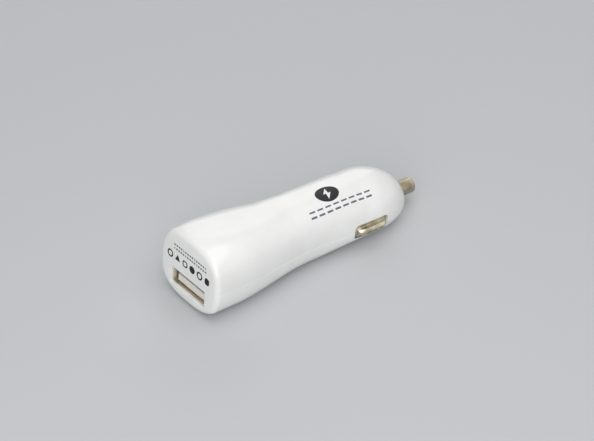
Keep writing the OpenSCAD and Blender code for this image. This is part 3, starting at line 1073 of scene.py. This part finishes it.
@dataclass
class UsbPort:
    """The metal shell of the port, its tongue and its contact strips; places count from the shell's mouth."""

    form: Form
    metal: bpy.types.Material
    tongue: bpy.types.Material
    gold: bpy.types.Material
    sheet: float = 0.3
    corner: float = 0.55
    inner_h: float = 5.12
    bow: float = 0.06
    flare_l: float = 0.6
    tongue_in: float = 1.7
    finger: tuple[float, float, float] = (5.4, 4.2, 1.3)
    finger_slit: float = 0.35
    finger_y: float = 3.0
    window: tuple[float, float, float] = (0.7, 5.2, 1.6)
    # The section of the finger in each side window: a place along the port and a depth from the wall.
    side_finger: Outline = ((5.3, 0.22), (2.9, 0.52), (1.7, 0.34), (1.7, 0.2), (2.9, 0.34), (5.3, 0.04))
    side_finger_half: float = 0.8
    cut: float = 0.6
    tab_x: float = 3.0
    tab_half: float = 0.6
    tab_tip: float = 0.5

    def moulded_tongue(self) -> bpy.types.Object:
        """Mould the tongue and its block, with the tongue's front close behind the mouth.

        Returns:
            The tongue, in place of its CAD node.
        """
        piece = bpy.data.objects.new("usb_tongue_moulded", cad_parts["usb_tongue"].data.copy())
        bpy.context.scene.collection.objects.link(piece)
        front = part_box("usb_tongue")[0].x
        for vertex in piece.data.vertices:
            if vertex.co.x < front + 0.1 * MM:
                vertex.co.x = self.form.row_x(self.tongue_in) * MM
        soften(piece, 0.3, 4)
        dress(piece, self.tongue)
        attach(piece, "housing")
        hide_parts("usb_tongue")
        return piece

    def tube(self, low: Vector, high: Vector) -> bpy.types.Object:
        """Fold the shell's tube from sheet, with round corners and a flared mouth.

        Args:
            low: Lowest corner of the tube.
            high: Highest corner of the tube.

        Returns:
            The tube, with no openings yet.
        """
        rings = []
        for x in [0, 0.25, self.flare_l, *np.linspace(2 * self.flare_l, high.x - low.x, 24)]:
            grow = 2 * self.bow * (max(0.0, 1 - x / self.flare_l) - 1)
            outline = rounded_outline(high.y - low.y + grow, high.z - low.z + grow, self.corner)
            rings.append([(low.x + x, y, (low.z + high.z) / 2 + z) for y, z in outline])
        faces = grid_faces(len(rings), len(rings[0]), closed=True)
        piece = make_object("usb_port_shell", [p for ring in rings for p in ring], faces)
        face_outwards(piece)
        thicken(piece, self.sheet)
        return piece

    def free_fingers(self, piece: bpy.types.Object, low: Vector, high: Vector) -> None:
        """Slit two spring fingers free in the top and two in the bottom.

        Args:
            piece: The shell.
            low: Lowest corner of its tube.
            high: Highest corner of its tube.
        """
        start, length, half = self.finger
        start, slit = low.x + start, self.finger_slit
        end = start + length
        slits = (
            (start, start + slit, -half, half),
            (start, end, -half, slit - half),
            (start, end, half - slit, half),
        )
        for middle in (-self.finger_y, self.finger_y):
            for z in (low.z, high.z):
                for x0, x1, y0, y1 in slits:
                    outline = rectangle(x0, x1, middle + y0, middle + y1)
                    boolean(piece, slab("finger_cutter", outline, 2, (z - self.cut, z + self.cut)))

    def dress_sides(self, piece: bpy.types.Object, low: Vector, high: Vector, tab_top: float) -> None:
        """Cut a window with a bent finger in each side, and join on the tabs that go through the board.

        Args:
            piece: The shell.
            low: Lowest corner of its tube.
            high: Highest corner of its tube.
            tab_top: Height of the tabs' tips.
        """
        start, end, half = self.window
        mid = (low.z + high.z) / 2
        for side in (-1, 1):
            wall = side * high.y
            outline = rectangle(low.x + start, low.x + end, mid - half, mid + half)
            boolean(piece, slab("window_cutter", outline, 1, (wall - self.cut, wall + self.cut)))
            finger = [(low.x + x, wall - side * y) for x, y in self.side_finger]
            ends = (mid - self.side_finger_half, mid + self.side_finger_half)
            boolean(piece, slab("side_finger", finger, 2, ends), "UNION")
            y = side * (high.y - self.sheet / 2 - self.bow)
            for x in (low.x + self.tab_x, high.x - self.tab_x):
                rings = []
                for z, share in ((mid + 1, 1), (tab_top - self.tab_tip, 1), (tab_top, 0.6)):
                    width = self.tab_half * share
                    outline = rectangle(x - width, x + width, y - self.sheet / 2, y + self.sheet / 2)
                    rings.append([(px, py, z) for px, py in outline])
                boolean(piece, loft("tab", rings), "UNION")

    def shell(self) -> bpy.types.Object:
        """Make the metal shell from its tube, fingers, windows and tabs.

        Returns:
            The shell, in place of its CAD node.
        """
        low, high = (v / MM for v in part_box("usb_shell"))
        tab_top = high.z
        high.z = low.z + self.inner_h + 2 * self.sheet
        piece = self.tube(low, high)
        self.free_fingers(piece, low, high)
        self.dress_sides(piece, low, high, tab_top)
        smooth_by_angle(piece, 35)
        dress(piece, self.metal)
        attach(piece, "housing")
        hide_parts("usb_shell")
        return piece

    def build(self) -> list[bpy.types.Object]:
        """Build the shell and tongue and dress the strips.

        Returns:
            The port's pieces.
        """
        strips = [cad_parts[f"usb_contact_{k}"] for k in range(1, 5)]
        for strip in strips:
            soften(strip, 0.04, 1)
            dress(strip, self.gold)
        return [self.shell(), self.moulded_tongue(), *strips]


@dataclass
class CentrePin:
    """The turned pin in the nose, its spring and the terminal behind it."""

    form: Form
    metal: bpy.types.Material
    spring_metal: bpy.types.Material
    pin_d: float = 4.2
    guide_d: float = 4.6
    guide_out: float = 0.15
    stub: Outline = ((0.0, 1.1), (0.12, 1.3), (0.4, 1.5))
    shoulder_l: float = 1.5
    edge: float = 0.1
    end_round: float = 0.55
    dish: float = 0.02
    wire: float = 0.6
    turns: int = 9
    turn_steps: int = 36
    wire_sides: int = 12
    travel: float = 3.5

    def pin(self) -> bpy.types.Object:
        """Turn the pin: stub, shoulder, guide, and the free end with its rounded rim and faint lathe centre.

        Returns:
            The pin, in place of its CAD node.
        """
        low, high = (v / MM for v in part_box("center_pin"))
        f = self.form
        pin_r, guide_r, shoulder_r = self.pin_d / 2, self.guide_d / 2, (high.z - low.z) / 2
        boss, out = f.row_x(f.boss_x), f.row_x(f.tip_x + self.guide_out)
        shoulder, stub_r, edge = boss - self.shoulder_l, self.stub[-1][1], self.edge
        profile = [(low.x + x, r) for x, r in self.stub]
        profile += [(shoulder - edge / 2, stub_r), (shoulder, stub_r + edge / 2)]
        profile += [(shoulder, shoulder_r - 1.5 * edge), (shoulder + 1.5 * edge, shoulder_r)]
        profile += [(boss - edge, shoulder_r), (boss, shoulder_r - edge), (boss, guide_r)]
        profile += [(out - edge, guide_r), (out, pin_r + 0.3 * edge), (out + edge, pin_r)]
        turn = self.end_round
        for a in np.radians(np.linspace(0, 90, 13)):
            profile.append((high.x - turn * (1 - math.sin(a)), pin_r - turn * (1 - math.cos(a))))
        profile += [(high.x - self.dish, (pin_r - turn) / 2), (high.x - 2 * self.dish, edge / 2)]
        piece = lathe("centre_pin_turned", profile, f.seam_z)
        smooth_by_angle(piece, 40)
        dress(piece, self.metal)
        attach(piece, "center_pin")
        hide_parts("center_pin")
        return piece

    def spring(self) -> bpy.types.Object:
        """Wind the spring, with its end turns closed, on a mesh of its own.

        Returns:
            The spring, in place of its CAD node.
        """
        low, high = (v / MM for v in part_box("pin_spring"))
        r, seam = self.wire / 2, self.form.seam_z
        coil_r = (high.y - low.y) / 2 - r
        start, end = low.x + r, high.x - r
        closed, share = 1 / self.turns, self.wire / (end - start)
        rings = []
        for t in np.linspace(0, 1, self.turn_steps * self.turns + 1):
            run = np.interp(t, (0, closed, 1 - closed, 1), (0, share, 1 - share, 1))
            x, a = start + (end - start) * float(run), math.tau * self.turns * t
            around = [(x + r * s, coil_r + r * c) for c, s in circle(self.wire_sides)]
            rings.append([(px, out * math.cos(a), seam + out * math.sin(a)) for px, out in around])
        piece = loft("pin_spring_wire", rings)
        smooth_by_angle(piece, 60)
        dress(piece, self.spring_metal)
        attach(piece, "housing")
        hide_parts("pin_spring")
        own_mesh(piece)
        return piece

    def build(self) -> list[bpy.types.Object]:
        """Build the pin and spring and dress the terminal.

        Returns:
            The pin's pieces.
        """
        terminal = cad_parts["pin_terminal"]
        soften(terminal, 0.08, 2)
        dress(terminal, self.spring_metal)
        return [self.pin(), self.spring(), terminal]


@dataclass
class SheetRow:
    """One row of a pressed contact's sheet."""

    u: float
    y: float
    # Whether the row is in the rear leg or foot, which have a slot.
    slotted: bool
    section: Outline


@dataclass
class SideContacts:
    """The pressed contacts in the barrel's pockets and the leaf springs behind them."""

    form: Form
    metal: bpy.types.Material
    leaf_metal: bpy.types.Material
    start: float = 45.9
    length: float = 10.05
    half_height: float = 1.75
    sheet: float = 0.45
    bend: float = 0.35
    flange_in: float = 0.5
    foot_in: float = 1.15
    foot_l: float = 1.1
    foot_w: float = 2.4
    bump_l: float = 9.2
    bump_h: float = 1.8
    bump_out: float = 1.3
    end_round: float = 1.7
    plan_round: float = 1.1
    end_share: float = 0.45
    arch: float = 0.2
    root: float = 0.18
    root_rise: float = 0.6
    crown_share: float = 0.8
    least_half: float = 0.3
    corner: float = 1.0
    travel: float = 1.2
    slot_half: float = 0.75
    slot_in: float = 0.8
    leaf_half: float = 0.11
    leaf_rest: tuple[float, float] = (0.12, 0.14)
    leaf_flat: float = 4.0
    # The leaf's end, counted from its far upper corner.
    leaf_tail: Outline = ((-2.4, -0.14), (-0.9, -0.14), (-0.4, -0.3), (-0.05, -0.7))
    leaf_steps: int = 12
    leaf_trim: float = 0.03

    def bump(self, x: float) -> tuple[float, float]:
        """Give the raised rib's height and half width at a distance from its middle.

        Args:
            x: Distance from the rib's middle, along the plug.

        Returns:
            Height over the flange and half width, both 0 outside the rib.
        """
        half = self.bump_l / 2
        inside = half - abs(x)
        if inside <= 0:
            return 0.0, 0.0
        crest = (self.flange_in + self.bump_out) * (1 - self.arch * (x / half) ** 2)
        rounds = (self.end_round, self.plan_round)
        end, plan = (math.sqrt(1 - (1 - min(1.0, inside / radius)) ** 2) for radius in rounds)
        return crest * end, self.bump_h / 2 * (self.end_share + (1 - self.end_share) * plan)

    def across(self, x: float, edge: float) -> Outline:
        """Draw the sheet's section across the contact at one place.

        Args:
            x: Distance from the rib's middle.
            edge: Half height of the sheet there.

        Returns:
            Pairs of a height from the seam and a rise over the flange.
        """
        rise, half = self.bump(x)
        half = max(half, self.least_half)
        root = self.root * min(1.0, rise / self.root_rise)
        wall_top = max(rise - min(rise * self.crown_share, half), root)
        right = [(edge * (1 - k / 3) + (half + root) * k / 3, 0.0) for k in range(3)]
        for a in np.radians((0, 30, 60, 90)):
            right.append((half + root * (1 - math.sin(a)), root * (1 - math.cos(a))))
        right += [(half, root + (wall_top - root) * k / 3) for k in (1, 2)]
        for a in np.radians((0, 12, 24, 36, 48, 60, 75, 90)):
            right.append((half * math.cos(a), wall_top + (rise - wall_top) * math.sin(a)))
        return right + [(-z, y) for z, y in reversed(right[:-1])]

    def sheet_rows(self) -> list[SheetRow]:
        """List the rows of the sheet from the rear foot to the front foot.

        Returns:
            The rows in order.
        """
        flange_y = self.form.barrel_w / 2 - self.flange_in
        foot_y = self.form.barrel_w / 2 - self.form.wall - self.foot_in
        x0, bend, mid = self.start, self.bend, self.start + self.length / 2
        turns = [(bend * (1 - math.cos(a)), bend * math.sin(a)) for a in np.radians((0, 30, 60, 90))]
        rear = [(x0 - self.foot_l, foot_y), (x0 - self.foot_l / 2, foot_y)]
        rear += [(x0 - bend + along, foot_y + up) for up, along in turns]
        rear += [(x0, y) for y in np.linspace(foot_y + bend, flange_y - bend, 5)[1:-1]]
        rear += [(x0 + along, flange_y - bend + up) for along, up in turns]
        flat = self.across(self.length, self.foot_w / 2)
        rows = [SheetRow(x, y, True, flat) for x, y in rear]
        half = self.bump_l / 2
        places = [half - self.end_round * (1 - math.cos(a)) for a in np.radians(np.linspace(0, 90, 15))]
        places += [self.length / 2 - d for d in (0.4, 0.6, 0.8, 1.0)]
        middle = np.linspace(self.end_round - half, half - self.end_round, 14)
        for x in sorted({round(v, 4) for v in [*places, *(-v for v in places), *middle]}):
            inside = min(self.corner, self.length / 2 - abs(x))
            edge = self.half_height - self.corner + math.sqrt(self.corner**2 - (self.corner - inside) ** 2)
            rows.append(SheetRow(mid + x, flange_y, False, self.across(x, max(edge, self.foot_w / 2))))
        return rows + [SheetRow(2 * mid - x, y, False, flat) for x, y in reversed(rear)]

    def contact(self, side: int) -> bpy.types.Object:
        """Press one contact from sheet.

        Args:
            side: 1 for the +Y contact and -1 for the -Y one.

        Returns:
            The contact, riding on its own body.
        """
        word = "left" if side > 0 else "right"
        f, rows, points = self.form, self.sheet_rows(), []
        for row in rows:
            points += [(f.row_x(row.u), side * (row.y + rise), f.seam_z + z) for z, rise in row.section]
        width, faces = len(rows[0].section), []
        for face in grid_faces(len(rows), width):
            row = rows[face[0] // width]
            off_seam = abs(sum(points[k][2] for k in face) / len(face) - f.seam_z)
            if not (row.slotted and row.y < f.barrel_w / 2 - self.slot_in and off_seam < self.slot_half):
                faces.append(face)
        piece = make_object(f"side_contact_{word}_pressed", points, faces)
        face_outwards(piece)
        crest = max(piece.data.polygons, key=lambda face: side * face.center.y)
        if side * crest.normal.y < 0:
            piece.data.flip_normals()
        thicken(piece, self.sheet)
        smooth_by_angle(piece, 45)
        dress(piece, self.metal)
        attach(piece, f"{word}_contact")
        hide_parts(f"side_contact_{word}")
        return piece

    def leaf(self, side: int) -> bpy.types.Object:
        """Bend one leaf spring from strip, on a mesh of its own.

        Args:
            side: 1 for the +Y leaf and -1 for the -Y one.

        Returns:
            The leaf, in place of its CAD node.
        """
        word = "left" if side > 0 else "right"
        low, high = (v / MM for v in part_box(f"contact_leaf_{word}"))
        y0, y1 = sorted((abs(low.y), abs(high.y)))
        foot_y, top_y = y0 + self.leaf_rest[0], y1 - self.leaf_rest[1]
        path = [(low.x, foot_y), (low.x + self.leaf_flat / 2, foot_y), (low.x + self.leaf_flat, foot_y)]
        for t in np.linspace(0, 1, self.leaf_steps + 1)[1:]:
            run = high.x - low.x - 2 * self.leaf_flat
            path.append((low.x + self.leaf_flat + run * t, foot_y + (top_y - foot_y) * float(ease(t))))
        path += [(high.x + x, y1 + y) for x, y in self.leaf_tail]
        mid_z, half = (low.z + high.z) / 2, (high.z - low.z) / 2 - self.leaf_trim
        z0, z1 = mid_z - half, mid_z + half
        rings = []
        for (x, y), before, after in zip(path, [path[0], *path], [*path[1:], path[-1]]):
            way = Vector((after[0] - before[0], after[1] - before[1])).normalized() * self.leaf_half
            outer, inner = (x - way.y, side * (y + way.x)), (x + way.y, side * (y - way.x))
            rings.append(((*outer, z1), (*inner, z1), (*inner, z0), (*outer, z0)))
        piece = loft(f"contact_leaf_{word}_strip", rings)
        smooth_by_angle(piece, 40)
        dress(piece, self.leaf_metal)
        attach(piece, "housing")
        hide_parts(f"contact_leaf_{word}")
        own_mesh(piece)
        return piece

    def build(self) -> list[bpy.types.Object]:
        """Build both contacts and both leaves."""
        return [self.contact(1), self.contact(-1), self.leaf(1), self.leaf(-1)]


@dataclass
class Board:
    """The circuit board and the parts on it, which the closed shells hide."""

    finishes: dict[str, bpy.types.Material]
    edges: dict[str, float] = field(default_factory=lambda: {"circuit_board": 0.05, "converter_chip": 0.08})
    edge: float = 0.06

    def build(self) -> list[bpy.types.Object]:
        """Soften and dress each CAD node on the board.

        Returns:
            The nodes.
        """
        made = []
        for name, finish in self.finishes.items():
            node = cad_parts[name]
            soften(node, self.edges.get(name, self.edge), 2)
            dress(node, finish)
            made.append(node)
        return made


@dataclass
class Marks:
    """Plain printed shapes: an oval with a bolt, a double row of bars, and fine bars and signs."""

    form: Form
    dark: bpy.types.Material
    violet: bpy.types.Material
    grey: bpy.types.Material
    white: bpy.types.Material
    film: float = 0.012
    film_step: float = 0.5
    least_share: float = 0.02
    oval: tuple[float, float, float, float] = (40.7, -2.35, 3.5, 2.3)
    # Corners of one half of the bolt, from the oval's middle.
    bolt: Outline = ((0.525, 1.65), (-1.15, 0.0), (0.35, 0.0))
    row_start: float = 32.3
    row_step: float = 2.56
    row_count: int = 8
    row_y: float = -5.9
    row_h: float = 1.0
    row_bar: tuple[float, float] = (1.8432, 0.34)
    line_zs: tuple[float, float] = (14.35, 13.3)
    line_start: float = -6.4
    line_step: float = 0.86
    line_count: int = 15
    line_bar: tuple[float, float, float] = (0.6, 0.3, 0.46)
    sign_ys: tuple[float, ...] = (-7.2, -4.3, -1.4, 1.4, 4.3, 7.2)
    sign_z: float = 10.95
    sign_hollow: float = 0.62

    def film_piece(
        self,
        name: str,
        outlines: Sequence[Outline],
        place: Callable[[float, float, float], Point],
        hollow: float = 0.0,
        lift: float = 1.0,
        rings: int = 1,
    ) -> bpy.types.Object:
        """Lay closed films of ink on a surface.

        Args:
            name: The piece's name.
            outlines: Each film's outline, in the surface's two directions, star-shaped about its middle.
            place: Gives the point for two directions and a lift off the surface.
            hollow: The open middle's share of the outline, or 0 for a full film.
            lift: Height over the surface, counted in films.
            rings: Steps from a film's middle to its edge.

        Returns:
            One object that holds all the films.
        """
        points: list[Point] = []
        faces: Faces = []
        shares = np.linspace(max(hollow, self.least_share), 1, rings + 1)
        levels = [(s, self.film * lift) for s in shares] + [(s, -2 * self.film) for s in reversed(shares)]
        total = len(levels)
        for corners in outlines:
            cx, cy = (sum(p[k] for p in corners) / len(corners) for k in (0, 1))
            outline = divide(corners, self.film_step)
            count, base = len(outline), len(points)
            for share, height in levels:
                points += [place(cx + (x - cx) * share, cy + (y - cy) * share, height) for x, y in outline]
            for i in range(total if hollow else total - 1):
                a, b = base + i * count, base + (i + 1) % total * count
                faces += [(a + j, b + j, b + (j + 1) % count, a + (j + 1) % count) for j in range(count)]
            if not hollow:
                last = base + (total - 1) * count
                faces += [tuple(range(base, base + count)), tuple(reversed(range(last, last + count)))]
        piece = make_object(name, points, faces)
        face_outwards(piece)
        smooth_by_angle(piece, 50)
        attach(piece, "housing")
        return piece

    def bar(self, x: float, y: float, w: float, h: float) -> Outline:
        """Draw a short bar with round corners."""
        return [(x + px, y + py) for px, py in rounded_outline(w, h, min(w, h) * 0.3, 2)]

    def disc(self, x: float, y: float, r: float, sides: int = 32, turn: float = 0.0) -> Outline:
        """Draw a regular outline, round if it has many sides."""
        return [(x + r * c, y + r * s) for c, s in circle(sides, turn)]

    def top_outlines(self) -> tuple[list[Outline], list[Outline], list[Outline]]:
        """Draw what is printed on the barrel's top.

        Returns:
            The oval, the bolt's two halves, and the bars of the double row.
        """
        x, y, long, high = self.oval
        oval = [(x + long * c, y + high * s) for c, s in circle(56)]
        bolt = [[(x + side * px, y + side * py) for px, py in self.bolt] for side in (1, -1)]
        bars = []
        for k in range(self.row_count):
            for side in (-1, 1):
                middle = self.row_start + self.row_step * (k + 0.5)
                bars.append(self.bar(middle, self.row_y + side * self.row_h / 2, *self.row_bar))
        return [oval], bolt, bars

    def face_outlines(self) -> tuple[list[Outline], list[Outline], list[Outline]]:
        """Draw what is printed on the USB face.

        Returns:
            The fine bars, the full signs and the open signs.
        """
        long, short, high = self.line_bar
        lines = []
        for row, z in enumerate(self.line_zs):
            for k in range(self.line_count):
                width = long if (k + row) % 5 else short
                lines.append(self.bar(self.line_start + self.line_step * k, z, width, high))
        ys, z = self.sign_ys, self.sign_z
        triangle = self.disc(ys[4], z - 0.1, 1.15, 3, math.pi / 2)
        full = [self.bar(ys[0], z, 1.7, 1.9), self.disc(ys[2], z, 1.05), triangle]
        hollow = [self.disc(ys[1], z, 1.1), self.bar(ys[3], z, 1.9, 1.8), self.disc(ys[5], z, 1.1)]
        return lines, full, hollow

    def build(self) -> list[bpy.types.Object]:
        """Print the shapes on the barrel's top and on the USB face.

        Returns:
            The films of ink.
        """
        oval, bolt, bars = self.top_outlines()
        lines, full, hollow = self.face_outlines()
        top, face = self.form.on_top, self.form.on_face
        made = [
            (self.film_piece("round_mark", oval, top, rings=10), self.dark, "chip_black"),
            (self.film_piece("round_mark_bolt", bolt, top, lift=2.0, rings=4), self.white, "white_plastic"),
            (self.film_piece("bar_row", bars, top, rings=2), self.violet, "chip_black"),
            (self.film_piece("face_lines", lines, face), self.grey, "chip_black"),
            (self.film_piece("face_signs", full, face), self.dark, "chip_black"),
            (self.film_piece("face_open_signs", hollow, face, self.sign_hollow), self.dark, "chip_black"),
        ]
        for piece, ink, slot in made:
            dress(piece, ink)
        return [piece for piece, _, _ in made]


# Studio.


@dataclass(frozen=True)
class Lamp:
    """A soft square lamp: its place in millimetres, its width in metres and its power in watts."""

    name: str
    place: Point
    size: float
    power: float

    def hang(self, aim: Point) -> None:
        """Hang the lamp so that it looks at a point.

        Args:
            aim: The point, in millimetres.
        """
        light = bpy.data.lights.new(self.name, "AREA")
        light.size = self.size
        light.energy = self.power
        lamp = bpy.data.objects.new(self.name, light)
        lamp.location = Vector(self.place) * MM
        lamp.rotation_mode = "QUATERNION"
        lamp.rotation_quaternion = (Vector(self.place) - Vector(aim)).to_track_quat("Z", "Y")
        bpy.context.scene.collection.objects.link(lamp)


@dataclass
class Studio:
    """Pale floor, soft lights and the camera at the photograph's viewing angle."""

    form: Form
    paper: bpy.types.Material
    lamps: tuple[Lamp, ...] = (
        Lamp("key", (-60, -160, 620), 0.8, 2.85),
        Lamp("side", (-480, -400, 300), 0.5, 2.25),
        Lamp("back", (300, 380, 300), 0.4, 0.5),
    )
    lamp_aim: Point = (0.0, 0.0, 10.0)
    fill: float = 0.25
    azimuth: float = -43.11
    elevation: float = 34.27
    roll: float = 5.93
    target: Point = (35.71, 2.06, 10.0)
    distance: float = 500.49
    focal_px: float = 2000.0
    frame_px: int = 594
    sensor: float = 36.0
    floor_half: float = 1.6
    floor_cells: int = 8
    slope_step: float = 0.0005

    def heights(self, u: np.ndarray) -> np.ndarray:
        """Give the height of the plug's underside at each length."""
        return self.form.seam_z - self.form.sizes(u)[2]

    def rest_slope(self) -> tuple[float, float]:
        """Find the plane the plug settles on: it touches the head and the barrel.

        Returns:
            The plane's fall towards +X as an angle, and the length from the USB face where it meets the head.
        """
        u = np.linspace(self.form.face_edge, self.form.dome_x + 8, 1200)
        low = self.heights(u)
        slope, place = 0.0, 0
        while u[int(np.argmin(low - slope * u))] < self.form.waist_x:
            place = int(np.argmin(low - slope * u))
            slope += self.slope_step
        return math.atan(slope), float(u[place])

    def floor(self) -> bpy.types.Object:
        """Lay a wide floor under the plug, as it settles on it.

        Returns:
            The floor.
        """
        angle, u = self.rest_slope()
        steps = np.linspace(-self.floor_half, self.floor_half, self.floor_cells + 1) / MM
        faces = grid_faces(len(steps), len(steps))
        piece = make_object("floor", [(x, y, 0.0) for x in steps for y in steps], faces)
        touch = Vector((self.form.row_x(u), 0, float(self.heights(np.array(u)))))
        piece.data.transform(Matrix.Translation(touch * MM) @ Matrix.Rotation(-angle, 4, "Y"))
        dress(piece, self.paper)
        return piece

    def world(self) -> None:
        """Give the world a soft fill, and white where the camera or a reflection sees it."""
        world = bpy.data.worlds.new("studio")
        bpy.context.scene.world = world
        world.use_nodes = True
        tree = world.node_tree
        tree.nodes.clear()
        path = add_node(tree, "ShaderNodeLightPath").outputs
        seen, highest = path["Is Camera Ray"], {"operation": "MAXIMUM"}
        for kind in ("Is Glossy Ray", "Is Transmission Ray"):
            seen = add_node(tree, "ShaderNodeMath", highest, links={0: seen, 1: path[kind]}).outputs[0]
        fill = add_node(
            tree, "ShaderNodeBackground", values={"Color": linear("F2F4F7"), "Strength": self.fill}
        )
        white = add_node(tree, "ShaderNodeBackground", values={"Color": linear("FFFFFF"), "Strength": 1.0})
        mix = add_node(tree, "ShaderNodeMixShader", links={0: seen, 1: fill.outputs[0], 2: white.outputs[0]})
        add_node(tree, "ShaderNodeOutputWorld", links={"Surface": mix.outputs[0]})

    def camera(self) -> bpy.types.Object:
        """Set the camera where the photograph was taken from.

        Returns:
            The camera.
        """
        az, el, roll = (math.radians(v) for v in (self.azimuth, self.elevation, self.roll))
        back = Vector((math.sin(az) * math.cos(el), -math.cos(az) * math.cos(el), math.sin(el)))
        right = Vector((math.cos(az), math.sin(az), 0))
        up = back.cross(right)
        side = right * math.cos(roll) + up * math.sin(roll)
        top = -right * math.sin(roll) + up * math.cos(roll)
        target = Vector((self.form.row_x(self.target[0]), self.target[1], self.target[2]))
        data = bpy.data.cameras.new("camera")
        data.sensor_width = self.sensor
        data.lens = self.focal_px / self.frame_px * self.sensor
        data.clip_start, data.clip_end = 0.01, 20
        camera = bpy.data.objects.new("camera", data)
        turn = Matrix((side, top, back)).transposed().to_4x4()
        camera.matrix_world = Matrix.Translation((target + back * self.distance) * MM) @ turn
        bpy.context.scene.collection.objects.link(camera)
        bpy.context.scene.camera = camera
        return camera

    def build(self) -> None:
        """Set up the floor, lamps, world and camera."""
        self.floor()
        for lamp in self.lamps:
            lamp.hang(self.lamp_aim)
        self.world()
        self.camera()
        bpy.context.scene.view_settings.view_transform = "Standard"


def main() -> None:
    """Build the plug's sub-assemblies in order, logging each piece's faces, then the studio."""
    logging.basicConfig(level=logging.INFO, format="%(message)s")
    form = Form()
    steel, black, can = SPRING_STEEL.build(), PACKAGE_BLACK.build(), CAN_ALUMINIUM.build()
    board = {
        "circuit_board": BoardLaminate().build(),
        "converter_chip": black,
        "inductor_core": FERRITE.build(),
        "inductor_winding": EnamelledWire().build(),
        "input_capacitor": can,
        "output_capacitor": can,
        "rectifier_diode": black,
        "resistor_1": black,
        "resistor_2": black,
        "ceramic_capacitor": CERAMIC.build(),
    }
    groups = [
        Housing(form, SHELL_WHITE.build()),
        UsbPort(form, PORT_TIN.build(), TONGUE_WHITE.build(), STRIP_GOLD.build()),
        CentrePin(form, PIN_NICKEL.build(), steel),
        SideContacts(form, CONTACT_NICKEL.build(), LEAF_BRONZE.build()),
        Board(board),
        Marks(form, DARK_INK.build(), VIOLET_INK.build(), GREY_INK.build(), WHITE_INK.build()),
    ]
    for group in groups:
        for piece in group.build():
            LOG.info("%s: %s, %d faces", type(group).__name__, piece.name, len(piece.data.polygons))
    Studio(form, FLOOR_PAPER.build()).build()


if __name__ == "__main__":
    main()
